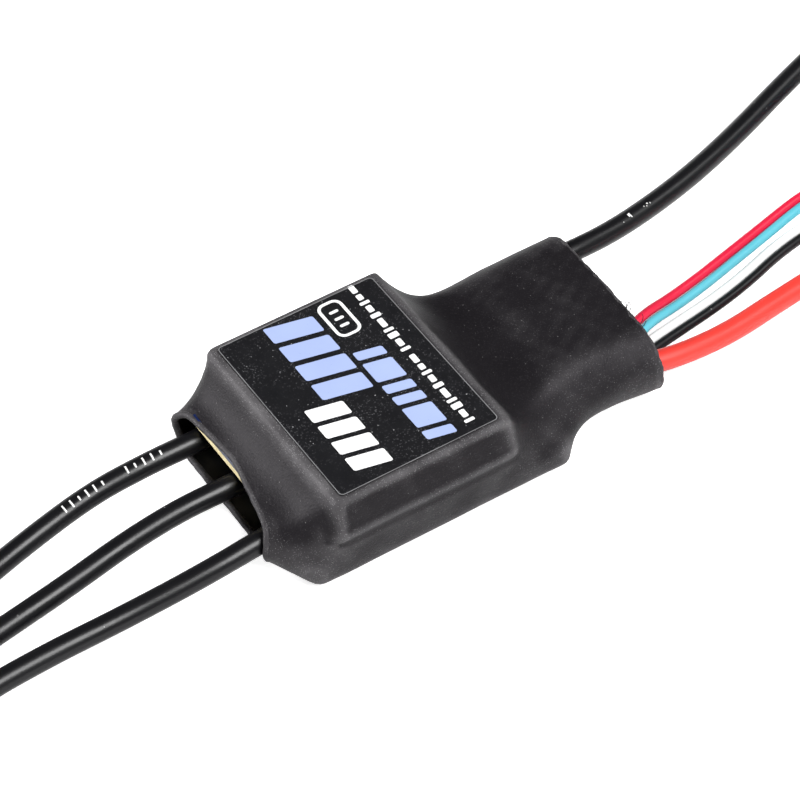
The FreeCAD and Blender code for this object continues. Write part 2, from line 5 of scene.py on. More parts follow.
import bpy
import numpy as np
from mathutils import Vector
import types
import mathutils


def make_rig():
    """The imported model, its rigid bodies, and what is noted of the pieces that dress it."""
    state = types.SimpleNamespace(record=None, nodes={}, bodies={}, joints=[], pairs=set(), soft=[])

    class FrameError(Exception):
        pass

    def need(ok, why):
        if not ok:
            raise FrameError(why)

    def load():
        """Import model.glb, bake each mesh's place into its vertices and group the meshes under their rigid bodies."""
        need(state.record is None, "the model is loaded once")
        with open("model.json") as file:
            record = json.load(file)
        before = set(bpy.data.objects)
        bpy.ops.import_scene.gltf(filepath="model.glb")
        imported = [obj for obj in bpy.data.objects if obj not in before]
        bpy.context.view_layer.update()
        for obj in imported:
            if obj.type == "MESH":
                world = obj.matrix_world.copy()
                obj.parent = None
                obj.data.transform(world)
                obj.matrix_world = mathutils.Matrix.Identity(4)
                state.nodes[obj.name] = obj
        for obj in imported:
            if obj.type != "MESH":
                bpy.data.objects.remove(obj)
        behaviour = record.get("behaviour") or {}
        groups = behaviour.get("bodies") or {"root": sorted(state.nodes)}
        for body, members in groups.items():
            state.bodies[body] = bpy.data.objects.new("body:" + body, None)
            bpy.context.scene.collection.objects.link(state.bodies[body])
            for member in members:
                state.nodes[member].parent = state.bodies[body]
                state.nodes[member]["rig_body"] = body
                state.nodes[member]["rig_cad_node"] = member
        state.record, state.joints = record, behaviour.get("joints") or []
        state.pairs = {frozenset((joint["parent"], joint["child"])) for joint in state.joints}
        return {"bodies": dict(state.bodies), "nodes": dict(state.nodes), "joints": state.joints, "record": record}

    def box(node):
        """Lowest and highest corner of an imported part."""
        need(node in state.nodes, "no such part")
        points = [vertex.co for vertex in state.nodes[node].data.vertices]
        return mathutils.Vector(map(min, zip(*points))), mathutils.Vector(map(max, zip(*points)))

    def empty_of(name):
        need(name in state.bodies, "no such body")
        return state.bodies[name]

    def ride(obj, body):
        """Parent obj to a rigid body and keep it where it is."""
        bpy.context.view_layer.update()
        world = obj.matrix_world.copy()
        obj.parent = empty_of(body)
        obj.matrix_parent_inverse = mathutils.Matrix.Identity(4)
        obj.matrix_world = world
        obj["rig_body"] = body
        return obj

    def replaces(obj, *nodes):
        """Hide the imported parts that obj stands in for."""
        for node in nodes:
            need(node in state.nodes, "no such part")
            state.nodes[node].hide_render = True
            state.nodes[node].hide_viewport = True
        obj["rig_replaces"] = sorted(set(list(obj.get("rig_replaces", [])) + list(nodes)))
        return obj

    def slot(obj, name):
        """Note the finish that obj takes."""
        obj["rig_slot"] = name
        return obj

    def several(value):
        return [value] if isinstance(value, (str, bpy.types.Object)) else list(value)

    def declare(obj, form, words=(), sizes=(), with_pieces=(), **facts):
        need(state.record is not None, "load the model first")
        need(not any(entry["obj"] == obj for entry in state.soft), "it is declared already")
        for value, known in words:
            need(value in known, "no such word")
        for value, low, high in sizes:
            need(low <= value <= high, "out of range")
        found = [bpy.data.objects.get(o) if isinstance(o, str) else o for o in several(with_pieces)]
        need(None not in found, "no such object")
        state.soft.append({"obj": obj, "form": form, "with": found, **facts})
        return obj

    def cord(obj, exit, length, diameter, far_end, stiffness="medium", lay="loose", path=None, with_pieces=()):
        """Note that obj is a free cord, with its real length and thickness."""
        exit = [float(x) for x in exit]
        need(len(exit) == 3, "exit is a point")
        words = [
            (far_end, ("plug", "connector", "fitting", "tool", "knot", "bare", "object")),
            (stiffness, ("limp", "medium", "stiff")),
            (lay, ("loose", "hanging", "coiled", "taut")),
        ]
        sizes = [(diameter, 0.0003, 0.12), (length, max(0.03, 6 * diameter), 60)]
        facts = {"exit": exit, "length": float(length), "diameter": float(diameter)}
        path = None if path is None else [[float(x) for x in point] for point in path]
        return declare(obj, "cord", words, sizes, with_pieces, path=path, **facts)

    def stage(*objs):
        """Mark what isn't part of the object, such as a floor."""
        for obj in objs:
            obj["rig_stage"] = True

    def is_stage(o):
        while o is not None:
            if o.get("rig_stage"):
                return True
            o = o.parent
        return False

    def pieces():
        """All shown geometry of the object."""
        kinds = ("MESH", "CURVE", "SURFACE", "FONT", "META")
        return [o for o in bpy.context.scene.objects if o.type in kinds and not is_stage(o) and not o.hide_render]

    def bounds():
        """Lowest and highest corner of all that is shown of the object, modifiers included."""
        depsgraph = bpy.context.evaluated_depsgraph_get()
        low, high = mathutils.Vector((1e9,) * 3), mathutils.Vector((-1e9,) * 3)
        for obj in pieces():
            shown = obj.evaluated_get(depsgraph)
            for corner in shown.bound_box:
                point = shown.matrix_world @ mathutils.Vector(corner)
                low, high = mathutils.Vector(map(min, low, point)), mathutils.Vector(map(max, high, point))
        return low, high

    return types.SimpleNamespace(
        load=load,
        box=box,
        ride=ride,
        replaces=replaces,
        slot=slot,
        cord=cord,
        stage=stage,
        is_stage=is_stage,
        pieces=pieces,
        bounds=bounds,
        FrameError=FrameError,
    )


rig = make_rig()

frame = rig.load()
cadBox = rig.bounds()
record = frame["record"]
mm = 0.001

view = {
    "azimuth": -33.174, "elevation": 47.859,      # degrees, azimuth 0 looks along +Y
    "distance": 426.203 * mm, "target": (0.918 * mm, 5.452 * mm, 0),
    "lens": 150.385, "sensor": 36, "clip": (0.01, 20),
}


def addCamera():
    turn, tilt = math.radians(view["azimuth"]), math.radians(view["elevation"])
    back = Vector((math.sin(turn) * math.cos(tilt), -math.cos(turn) * math.cos(tilt), math.sin(tilt)))
    data = bpy.data.cameras.new("camera")
    data.lens = view["lens"]
    data.sensor_width = view["sensor"]
    data.clip_start, data.clip_end = view["clip"]
    camera = bpy.data.objects.new("camera", data)
    camera.location = Vector(view["target"]) + back * view["distance"]
    camera.rotation_euler = (-back).to_track_quat("-Z", "Y").to_euler()
    bpy.context.collection.objects.link(camera)
    bpy.context.scene.camera = camera


addCamera()
print("camera placed")


def millimetres(points):
    return [tuple(value * mm for value in point) for point in points]


def newMesh(name, points, faces, smooth=True):
    mesh = bpy.data.meshes.new(name)
    mesh.from_pydata(millimetres(points), [], faces)
    mesh.validate()
    mesh.update()
    for face in mesh.polygons:
        face.use_smooth = smooth
    piece = bpy.data.objects.new(name, mesh)
    bpy.context.collection.objects.link(piece)
    return piece


def gridFaces(rows, columns, base=0, closed=True, looped=False, turned=False):
    # squares between rows of points: closed joins a row's ends, looped joins the last row to the first
    faces = []
    for i in range(rows if looped else rows - 1):
        up = ((i + 1) % rows - i) * columns
        for j in range(columns if closed else columns - 1):
            a, b = base + i * columns + j, base + i * columns + (j + 1) % columns
            faces.append((a, a + up, b + up, b) if turned else (a, b, b + up, a + up))
    return faces


def dress(piece, finish, slotName=None):
    piece.data.materials.append(finishes[finish])
    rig.ride(piece, "root")
    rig.slot(piece, slotName or finish)
    return piece


def circle(sides):
    angles = [2 * math.pi * k / sides for k in range(sides)]
    return [(math.cos(angle), math.sin(angle)) for angle in angles]


def between(value, table):
    # straight-line reading of a small table of pairs
    return float(np.interp(value, [pair[0] for pair in table], [pair[1] for pair in table]))


def startGroup(name, inputs, outputs):
    group = bpy.data.node_groups.new(name, "ShaderNodeTree")
    for label, value in inputs.items():
        group.interface.new_socket(label, in_out="INPUT", socket_type="NodeSocketFloat").default_value = value
    for label in outputs:
        group.interface.new_socket(label, in_out="OUTPUT", socket_type="NodeSocketFloat")
    return group, group.nodes.new("NodeGroupInput"), group.nodes.new("NodeGroupOutput")


def plug(tree, socket, value):
    # a socket takes another one's output, a colour or a number
    if isinstance(value, bpy.types.NodeSocket):
        tree.links.new(value, socket)
    else:
        socket.default_value = (*value, 1) if isinstance(value, tuple) and len(value) == 3 else value


def addNode(tree, kind, **values):
    node = tree.nodes.new("ShaderNode" + kind)
    for label, value in values.items():
        plug(tree, node.inputs[label.replace("_", " ")], value)
    return node


def mathNode(tree, kind, *values, clamp=False):
    node = addNode(tree, "Math")
    node.operation = kind
    node.use_clamp = clamp
    for socket, value in zip(node.inputs, values):
        plug(tree, socket, value)
    return node.outputs[0]


def mixColour(tree, factor, first, second):
    node = addNode(tree, "Mix")
    node.data_type = "RGBA"
    for index, value in ((0, factor), (6, first), (7, second)):
        plug(tree, node.inputs[index], value)
    return node.outputs[2]


def rampNode(tree, factor, stops):
    ramp = addNode(tree, "ValToRGB", Fac=factor)
    elements = ramp.color_ramp.elements
    for position, grey in stops[1:-1]:
        elements.new(position)
    for element, (position, grey) in zip(elements, stops):
        element.position = position
        element.color = (grey, grey, grey, 1)
    return ramp.outputs[0]


def makeGrainGroup():
    # fine moulded grain: a height and a slow mottle
    scales = {"Grain Scale": 2500, "Mottle Scale": 150}
    group, start, end = startGroup("fineGrain", scales, ("Height", "Mottle"))
    where = addNode(group, "TexCoord").outputs["Object"]
    for scale, detail, result in (("Grain Scale", 3, "Height"), ("Mottle Scale", 4, "Mottle")):
        cloud = addNode(group, "TexNoise", Vector=where, Scale=start.outputs[scale], Detail=detail)
        plug(group, end.inputs[result], cloud.outputs["Fac"])
    return group


def makeDustGroup():
    # scattered round specks, each with its own strength
    sizes = {"Speck Scale": 900, "Speck Size": 0.12, "Cover": 0.35}
    group, start, end = startGroup("dustSpecks", sizes, ("Mask",))
    where = addNode(group, "TexCoord").outputs["Object"]
    cells = addNode(group, "TexVoronoi", Vector=where, Scale=start.outputs["Speck Scale"])
    near = mathNode(group, "LESS_THAN", cells.outputs["Distance"], start.outputs["Speck Size"])
    parts = addNode(group, "SeparateColor", Color=cells.outputs["Color"])
    chosen = mathNode(group, "LESS_THAN", parts.outputs[0], start.outputs["Cover"])
    strength = mathNode(group, "MULTIPLY", near, chosen)
    plug(group, end.inputs["Mask"], mathNode(group, "MULTIPLY", strength, parts.outputs[1]))
    return group


grainGroup = makeGrainGroup()
dustGroup = makeDustGroup()


def placeGroup(tree, group, **values):
    node = addNode(tree, "Group")
    node.node_tree = group
    for label, value in values.items():
        plug(tree, node.inputs[label.replace("_", " ")], value)
    return node


def newMaterial(name):
    material = bpy.data.materials.new(name)
    material.use_nodes = True
    tree = material.node_tree
    return material, tree, tree.nodes["Principled BSDF"]


def setShader(tree, shader, **values):
    for label, value in values.items():
        plug(tree, shader.inputs[label.replace("_", " ")], value)


def addTexture(tree, shader, texture, roughness, bump):
    # roughness: least and spread; bump: strength and metres
    least, spread = roughness
    bumps = addNode(tree, "Bump", Strength=bump[0], Distance=bump[1], Height=texture.outputs["Height"])
    setShader(tree, shader, Normal=bumps.outputs["Normal"],
              Roughness=mathNode(tree, "MULTIPLY_ADD", texture.outputs["Mottle"], spread, least))


satinLook = {"spread": 0.16, "bump": 0.6}


def satin(name, colour, roughness, grain=2500, bump=0.00002, mottle=0.15, dust=0, metallic=0,
          dustColour=(0.5, 0.5, 0.5), dustScale=900, specular=0.5):
    # a plain surface with grain, a slow change of tone and roughness, and dust if wanted
    material, tree, shader = newMaterial(name)
    texture = placeGroup(tree, grainGroup, Grain_Scale=grain)
    dark = tuple(c * (1 - mottle) for c in colour)
    light = tuple(min(1, c * (1 + mottle)) for c in colour)
    base = mixColour(tree, texture.outputs["Mottle"], dark, light)
    if dust:
        specks = placeGroup(tree, dustGroup, Speck_Scale=dustScale, Cover=dust)
        base = mixColour(tree, specks.outputs["Mask"], base, dustColour)
    setShader(tree, shader, Base_Color=base, Metallic=metallic, Specular_IOR_Level=specular)
    spread = satinLook["spread"]
    addTexture(tree, shader, texture, (roughness - spread / 2, spread), (satinLook["bump"], bump))
    return material


finishes = {
    "black_silicone": satin("blackSilicone", (0.0042, 0.0042, 0.0052), 0.33, mottle=0.1, dust=0.06,
                            specular=0.38),
    "red_silicone": satin("redSilicone", (0.75, 0.045, 0.034), 0.36, mottle=0.05),
    "crimson_wire": satin("crimsonWire", (0.67, 0.011, 0.048), 0.34, mottle=0.06),
    "cyan_wire": satin("cyanWire", (0.1, 0.46, 0.56), 0.34, mottle=0.06),
    "white_wire": satin("whiteWire", (0.82, 0.82, 0.81), 0.34, mottle=0.03),
    "black_wire": satin("blackWire", (0.007, 0.007, 0.008), 0.32, dust=0.06, specular=0.35),
    "tin": satin("tinnedCopper", (0.66, 0.66, 0.65), 0.3, metallic=1, mottle=0.12),
    "heat_sink_metal": satin("milledAluminium", (0.62, 0.63, 0.65), 0.32, metallic=1, mottle=0.05),
    "thermal_pad": satin("thermalPad", (0.3, 0.4, 0.5), 0.8, mottle=0.1),
    "chip": satin("chipResin", (0.018, 0.018, 0.019), 0.55, mottle=0.15),
    "chip_can": satin("crystalCan", (0.66, 0.66, 0.66), 0.28, metallic=1, mottle=0.05),
    "ferrite": satin("ferrite", (0.06, 0.06, 0.065), 0.6, mottle=0.2),
    "lamp": satin("lampResin", (0.8, 0.82, 0.74), 0.25, mottle=0.04),
    "shunt": satin("shuntMetal", (0.4, 0.4, 0.41), 0.35, metallic=1, mottle=0.1),
    "ceramic_part": satin("tanCeramic", (0.42, 0.28, 0.16), 0.5, mottle=0.12),
    "resistor_part": satin("resistorBody", (0.02, 0.02, 0.022), 0.45, mottle=0.12),
    "gilt_pin": satin("giltPin", (0.83, 0.6, 0.25), 0.28, metallic=1, mottle=0.06),
    "can_metal": satin("drawnCan", (0.78, 0.78, 0.8), 0.26, metallic=1, mottle=0.05),
    "can_skin": satin("canFilm", (0.01, 0.012, 0.03), 0.3, mottle=0.1),
    "bung": satin("rubberBung", (0.02, 0.02, 0.02), 0.7, mottle=0.15),
    "plug_plastic": satin("plugPlastic", (0.016, 0.016, 0.017), 0.42, mottle=0.12),
}

boardLook = {
    "mottle": 600,
    "mask": ((0.004, 0.01, 0.05), (0.006, 0.015, 0.075)),
    "fibre": ((0.62, 0.5, 0.24), (0.95, 0.86, 0.55)),
    "levelAbove": 0.5,        # the share of a face's normal along Z from which it counts as a board's face
    "maskedAbove": 0.0081,    # the height above which the upper board's edge is covered by mask
    "fibreRoughness": 0.55,
    "maskSmoother": 0.27,
}


def boardFinish():
    # blue solder mask on both faces and over the upper board's rim, and bare glass fibre at the cut edges
    material, tree, shader = newMaterial("circuitBoard")
    mottle = placeGroup(tree, grainGroup, Mottle_Scale=boardLook["mottle"]).outputs["Mottle"]
    mask = mixColour(tree, mottle, *boardLook["mask"])
    fibre = mixColour(tree, mottle, *boardLook["fibre"])
    facing = addNode(tree, "SeparateXYZ", Vector=addNode(tree, "NewGeometry").outputs["True Normal"])
    place = addNode(tree, "SeparateXYZ", Vector=addNode(tree, "TexCoord").outputs["Object"])
    steep = mathNode(tree, "ABSOLUTE", facing.outputs["Z"])
    level = mathNode(tree, "GREATER_THAN", steep, boardLook["levelAbove"])
    masked = mathNode(tree, "GREATER_THAN", place.outputs["Z"], boardLook["maskedAbove"])
    face = mathNode(tree, "MAXIMUM", level, masked)
    smoother = mathNode(tree, "MULTIPLY", face, boardLook["maskSmoother"])
    setShader(tree, shader, Base_Color=mixColour(tree, face, fibre, mask),
              Roughness=mathNode(tree, "SUBTRACT", boardLook["fibreRoughness"], smoother))
    return material


finishes["board"] = boardFinish()


sleeveLook = {
    "scales": {"Grain_Scale": 3600, "Mottle_Scale": 200},
    "tones": ((0.007, 0.0062, 0.0075), (0.0092, 0.0081, 0.0097)),
    # paler colour at outward bends and rims: partly rubbed wear, partly painted highlight
    "rubbedAndHighlight": (0.13, 0.125, 0.13),
    "specks": {"Speck_Scale": 2600, "Speck_Size": 0.16, "Cover": 0.16},
    "speckShare": 0.45,
    "speckColour": (0.3, 0.29, 0.29),
    "powder": {"Speck_Scale": 5600, "Speck_Size": 0.34, "Cover": 0.5},
    "powderShare": (1.4, 0.12),     # more where the mask of wear and painted highlight is high, and the least anywhere
    "powderColour": (0.16, 0.155, 0.16),
    "roughness": (0.46, 0.08),
    "specular": 0.17,
    "tint": (1, 0.95, 1),
    "bump": (0.7, 0.00008),
}


def sleeveFinish():
    # polyolefin film: dark, satin, dusty, and paler at outward bends and rims, partly rubbed wear and partly painted
    # highlight
    look = sleeveLook
    material, tree, shader = newMaterial("shrunkFilm")
    texture = placeGroup(tree, grainGroup, **look["scales"])
    mottle = texture.outputs["Mottle"]
    specks = placeGroup(tree, dustGroup, **look["specks"]).outputs["Mask"]
    powder = placeGroup(tree, dustGroup, **look["powder"]).outputs["Mask"]
    wear_dust_and_highlight = addNode(tree, "Attribute")
    wear_dust_and_highlight.attribute_name = "wear_dust_and_highlight"
    wearAndHighlight = wear_dust_and_highlight.outputs["Fac"]
    base = mixColour(tree, mottle, *look["tones"])
    # paler colour at outward bends and on the rims, partly rubbed wear and partly painted highlight
    base = mixColour(tree, mathNode(tree, "MULTIPLY", wearAndHighlight, mottle, clamp=True), base, look["rubbedAndHighlight"])
    base = mixColour(tree, mathNode(tree, "MULTIPLY", specks, look["speckShare"]), base, look["speckColour"])
    share = mathNode(tree, "MULTIPLY_ADD", wearAndHighlight, *look["powderShare"])
    base = mixColour(tree, mathNode(tree, "MULTIPLY", powder, share, clamp=True), base, look["powderColour"])
    setShader(tree, shader, Base_Color=base, Specular_IOR_Level=look["specular"], Specular_Tint=look["tint"])
    addTexture(tree, shader, texture, look["roughness"], look["bump"])
    return material


finishes["sleeve"] = sleeveFinish()
# the film's inner wall: a darker copy of the film, painted shade; the plug windows take it as painted shade too
finishes["sleeve_inside"] = satin("shrunkFilmShadedInside", (0.0028, 0.0027, 0.003), 0.6, specular=0.15)


# Free leads: the length on the smooth line, where it leaves the sleeve, and its route's points.
leads = {
    "motor_lead_far": {
        "length": 88, "exit": (-28.6, 9.6, 5.2),
        "route": [
            (-24, 9.55, 5.2), (-28.2, 9.6, 5.2), (-33.6, 9.9, 4.9), (-41, 10.4, 3.7), (-49.5, 9.6, 2.1),
            (-58, 7.6, 1.55), (-68, 4.4, 1.5), (-80, 2.4, 1.5), (-92, 2.6, 1.5), (-102, 4.4, 1.5),
            (-111, 6.8, 1.5),
        ],
    },
    "motor_lead_middle": {
        "length": 90, "exit": (-28.6, 1, 5.2),
        "route": [
            (-24, 0.95, 5.2), (-28.2, 1, 5.2), (-34, 1.35, 4.8), (-41.5, 1.3, 3.6), (-50, 0.5, 2.2),
            (-60, -0.7, 1.55), (-71, -2.6, 1.5), (-83, -5.4, 1.5), (-95, -7.2, 1.5), (-105, -7.6, 1.5),
            (-113, -7, 1.5),
        ],
    },
    "motor_lead_near": {
        "length": 86, "exit": (-28.6, -8.5, 5.2),
        "route": [
            (-24, -8.45, 5.2), (-28.2, -8.5, 5.2), (-33, -8.7, 4.8), (-39.5, -8.2, 3.5), (-47.5, -7.35, 2),
            (-57, -7, 1.5), (-67, -7.6, 1.5), (-78, -10.2, 1.5), (-89, -14.4, 1.5), (-99, -17.6, 1.5),
            (-108, -19.4, 1.5),
        ],
    },
    "battery_lead_black": {
        "length": 117, "exit": (28.6, 10.3, 6.3),
        "route": [
            (4.6, 10.8, 5.2), (9.6, 10.8, 5.25), (16, 11.2, 5.6), (23, 10.9, 6.1), (30, 10.2, 6.4),
            (37.5, 10.9, 5.6), (46.5, 13, 4.6), (56, 16, 3.5), (66, 20, 2.3), (77, 24.6, 1.55),
            (88, 28.4, 1.5), (99, 30.6, 1.5), (109, 31.2, 1.5), (118, 30.8, 1.5),
        ],
    },
    "battery_lead_red": {
        "finish": "red_silicone", "length": 116, "exit": (28.6, -9.8, 4.2),
        "route": [
            (4.6, -10.4, 5.95), (9.4, -10.4, 5.95), (14.2, -10.15, 5.85), (19.5, -9.05, 5.4),
            (24.5, -9.05, 4.85), (29, -9.9, 4.1), (34.5, -10.3, 3.4), (42, -9.8, 2.4), (50.5, -8.2, 1.6),
            (60, -7.1, 1.5), (67.5, -9, 1.5), (75, -13.2, 1.5), (82.2, -18.2, 1.5), (90, -21.2, 1.5),
            (99, -22.4, 1.5), (108, -22, 1.5), (117, -20.8, 1.5),
        ],
    },
}

# Free wires: as the leads, with the coil they lie in. Turns: the angles where it begins and ends, and its
# layers' heights. Tail: from the coil to the housing.
wires = {
    "signal_wire_crimson": {
        "finish": "crimson_wire", "coil": "data", "exit": (28.6, -5.7, 7.2), "length": 227,
        "route": [
            (3.2, -4, 9.3), (6.2, -5, 8.6), (9.2, -6.4, 7.95), (14.5, -7.1, 7.7), (19.5, -7.25, 7.7),
            (24.5, -6.9, 7.6), (28.5, -5.7, 7.2), (32.5, -3.9, 6.3), (37.5, -2.3, 4.7), (43.5, -0.5, 3.6),
            (50, 1.6, 2.6), (57.5, 4.1, 1.3), (65.5, 6.4, 0.65), (72, 6.9, 0.65), (76.8, 5.2, 0.65),
            (80.82, 3.76, 0.65),
        ],
        "turns": (-110, -62, 0.65, 3.25),
        "tail": [(88.37, 4.29, 3.25), (92.6, 6.6, 2.5), (95.9, 7.9, 1.7), (98.85, 8.23, 1.35)],
    },
    "signal_wire_cyan": {
        "finish": "cyan_wire", "coil": "data", "exit": (28.6, -7.1, 6.9), "length": 229,
        "route": [
            (3.2, -5.4, 9.3), (6.2, -6.4, 8.6), (9.2, -7.8, 7.9), (14.5, -8.45, 7.75), (19.5, -8.65, 7.6),
            (24.5, -8.3, 7.4), (28.5, -7.1, 6.9), (32.5, -5.3, 6), (37.5, -3.7, 4.4), (43.5, -1.9, 3.3),
            (50, 0.2, 2.4), (57.5, 2.7, 1.2), (65.2, 4.95, 0.65), (71.6, 5.35, 0.65), (76.4, 3.7, 0.65),
            (80.3, 2.25, 0.65), (84, 3.2, 0.65),
        ],
        "turns": (-90, -50, 1.95, 4.55),
        "tail": [(89.98, 5.38, 4.55), (93, 8, 3.6), (95.9, 10.2, 2), (98.85, 10.77, 1.35)],
    },
    "signal_wire_white": {
        "finish": "white_wire", "coil": "throttle", "exit": (28.6, -6, 2.6), "length": 235,
        "route": [
            (6, -5.9, 3.95), (8.4, -6.05, 3.95), (11, -7.6, 3.9), (13.6, -8.1, 3.8), (16.6, -7.95, 2.7),
            (20.6, -7.5, 2.1), (25.5, -6.9, 2.3), (31.5, -5.6, 2.7), (37.5, -4.5, 2.3), (43.5, -3.3, 1.7),
            (50, -1.6, 1.1), (57, 0.75, 0.7), (64.7, 2, 0.65), (72.8, 1.5, 0.65), (80.2, 0.45, 0.65),
            (86.4, 0.65, 0.65), (91.4, 2.05, 0.65), (95.87, -0.15, 0.65),
        ],
        "turns": (72, 55, 0.65, 3.25),
        "tail": [(98.33, -1.38, 3.25), (102.6, -4, 2.6), (106.4, -4.9, 1.6), (109.85, -4.96, 1.35)],
    },
    "signal_wire_black": {
        "finish": "black_wire", "coil": "throttle", "exit": (28.6, -7.6, 2.6), "length": 235,
        "route": [
            (6, -7.35, 3.95), (8.4, -7.5, 3.95), (11, -9.1, 3.9), (13.6, -9.6, 3.8), (16.6, -9.4, 2.7),
            (20.6, -8.9, 2.2), (25.5, -8.3, 2.4), (31.5, -7, 2.7), (37.5, -5.9, 2.3), (43.5, -4.7, 1.7),
            (50, -3, 1.1), (57, -0.65, 0.7), (64.5, 0.55, 0.65), (72.5, 0.05, 0.65), (80, -1, 0.65),
            (86.4, -0.9, 0.65), (91.71, 0.21, 0.65),
        ],
        "turns": (98, 42, 1.95, 4.55),
        "tail": [(99.91, -2.78, 4.55), (102.6, -6, 3.8), (106, -9.3, 2.1), (109.85, -10.04, 1.35)],
    },
}

coils = {
    "data": {"middle": (84, 12.5), "way": 1, "plug": ("data_plug_housing", "data_plug_contacts")},
    "throttle": {"middle": (93, -9), "way": -1, "plug": ("throttle_plug_housing", "throttle_plug_contacts")},
}

coil = {
    "pointsPerTurn": 16,
    "wholeTurns": 3,
    "radius": [(0, 9.3), (0.05, 8.1), (0.47, 5.75), (0.55, 5.6), (0.95, 7.8), (1, 8.9)],
    "settled": 0.07,          # where in the coil's length it lies on its lower layer
    "climb": (0.45, 0.56),    # where it goes up to the upper layer
}


def coilTurns(name, firstHeight):
    # control points from where the wire meets the coil to where its tail leaves
    facts = wires[name]
    middle, way = coils[facts["coil"]]["middle"], coils[facts["coil"]]["way"]
    begin, leave, low, high = facts["turns"]
    sweep = way * ((way * (leave - begin)) % 360 + 360 * coil["wholeTurns"])
    count = int(abs(sweep) / 360 * coil["pointsPerTurn"])
    points = []
    for step in range(1, count):
        part = step / count
        angle = math.radians(begin + sweep * part)
        radius = between(part, coil["radius"])
        height = between(part, [(0, firstHeight), (coil["settled"], low), (coil["climb"][0], low),
                                (coil["climb"][1], high)])
        points.append((middle[0] + radius * math.cos(angle), middle[1] + radius * math.sin(angle), height))
    return points


cordDetail = {"alongSteps": 10, "roundSteps": 5}


def addCord(name, points, thickness, finish):
    data = bpy.data.curves.new(name + "_line", "CURVE")
    data.dimensions = "3D"
    data.resolution_u = cordDetail["alongSteps"]
    data.bevel_depth = thickness / 2 * mm
    data.bevel_resolution = cordDetail["roundSteps"]
    data.use_fill_caps = True
    spline = data.splines.new("NURBS")
    spline.points.add(len(points) - 1)
    for point, place in zip(spline.points, millimetres(points)):
        point.co = (*place, 1)
    spline.order_u = 3
    spline.use_endpoint_u = True
    piece = bpy.data.objects.new(name + "_skin", data)
    bpy.context.collection.objects.link(piece)
    return dress(piece, finish)


def roundedOutline(left, right, near, far, radius, slant=0, steps=5):
    # corners in order round the shape; slant leans it like italic print
    outline = []
    inLeft, inRight, inNear, inFar = left + radius, right - radius, near + radius, far - radius
    middles = ((inRight, inFar), (inLeft, inFar), (inLeft, inNear), (inRight, inNear))
    for quarter, (middleX, middleY) in enumerate(middles):
        for step in range(steps + 1):
            angle = math.radians(90 * quarter + 90 * step / steps)
            x, y = middleX + radius * math.cos(angle), middleY + radius * math.sin(angle)
            outline.append((x, y - slant * (x - (left + right) / 2)))
    return outline


def smoothLine(piece):
    # points of the route's own smooth line, with no thickness
    plain = piece.data.copy()
    plain.bevel_depth = 0
    carrier = bpy.data.objects.new("carrier", plain)
    bpy.context.collection.objects.link(carrier)
    bpy.context.view_layer.update()
    mesh = bpy.data.meshes.new_from_object(carrier.evaluated_get(bpy.context.evaluated_depsgraph_get()))
    line = [vertex.co.copy() for vertex in mesh.vertices]
    bpy.data.objects.remove(carrier)
    bpy.data.curves.remove(plain)
    bpy.data.meshes.remove(mesh)
    return line


tip = {
    "length": 6,
    "strands": 9,
    "steps": 14,
    "turns": 0.55,
    "ring": 0.56,             # the strands' distance from the middle, and how much of it is lost at the end
    "narrowing": 0.12,
    "strand": 0.17,           # a strand's radius, its share at the cut, and where the cut begins
    "cutShare": 0.7,
    "cutFrom": 0.97,
    "strandSides": 8,
    "coreSides": 16,
    "core": [(0, 0.52), (0.5, 0.52), (0.94, 0.494), (0.985, 0.312)],    # share of the length, radius
}


def addTip(lead, points):
    # twisted strands that stick out of the cut insulation, held together by solder
    end, before = Vector(points[-1]), Vector(points[-2])
    along = (end - before).normalized()
    side = along.cross(Vector((0, 0, 1))).normalized()
    up = side.cross(along)
    corners, faces = [], []

    def addRod(line, radii, sides):
        base = len(corners)
        for place, radius in zip(line, radii):
            corners.extend(place + side * radius * x + up * radius * y for x, y in circle(sides))
        faces.extend(gridFaces(len(line), sides, base))
        faces.append(tuple(base + k for k in reversed(range(sides))))
        faces.append(tuple(base + (len(line) - 1) * sides + k for k in range(sides)))

    for strand in range(tip["strands"]):
        line, radii = [], []
        for step in range(tip["steps"] + 1):
            part = step / tip["steps"]
            angle = 2 * math.pi * (strand / tip["strands"] + tip["turns"] * part)
            ring = tip["ring"] * (1 - tip["narrowing"] * part ** 3)
            across = side * ring * math.cos(angle) + up * ring * math.sin(angle)
            line.append(end + along * tip["length"] * part + across)
            radii.append(tip["strand"] * (1 if part < tip["cutFrom"] else tip["cutShare"]))
        addRod(line, radii, tip["strandSides"])
    core = [end + along * tip["length"] * part for part, radius in tip["core"]]
    addRod(core, [radius for part, radius in tip["core"]], tip["coreSides"])
    return dress(newMesh(lead + "_tip", corners, faces), "tin")


leadThickness, wireThickness = 3, 1.3

# Marks on a lead's surface: how far along, their length, their reach round it and the angle from its top.
marks = {
    "lead_ticks": {
        "lead": "motor_lead_far",
        "ink": 0.012,
        "patches": [(start + 1.15 * k, 0.22, 0.36 if k % 3 else 0.22, -0.26)
                    for start, count in ((7.5, 5), (15.5, 6)) for k in range(count)],
    },
    "lead_scuffs": {
        "lead": "battery_lead_black",
        "ink": 0.02,
        "patches": [
            (35.9, 0.34, 0.16, 0.22), (36.2, 0.16, 0.26, 0.28), (38.9, 0.14, 0.05, 0.3),
            (39.3, 0.12, 0.05, 0.42), (39.6, 0.2, 0.07, 0.24), (40.1, 0.12, 0.06, 0.36),
            (34.6, 0.1, 0.04, 0.5),
        ],
    },
}
markRows, markColumns = 3, 9


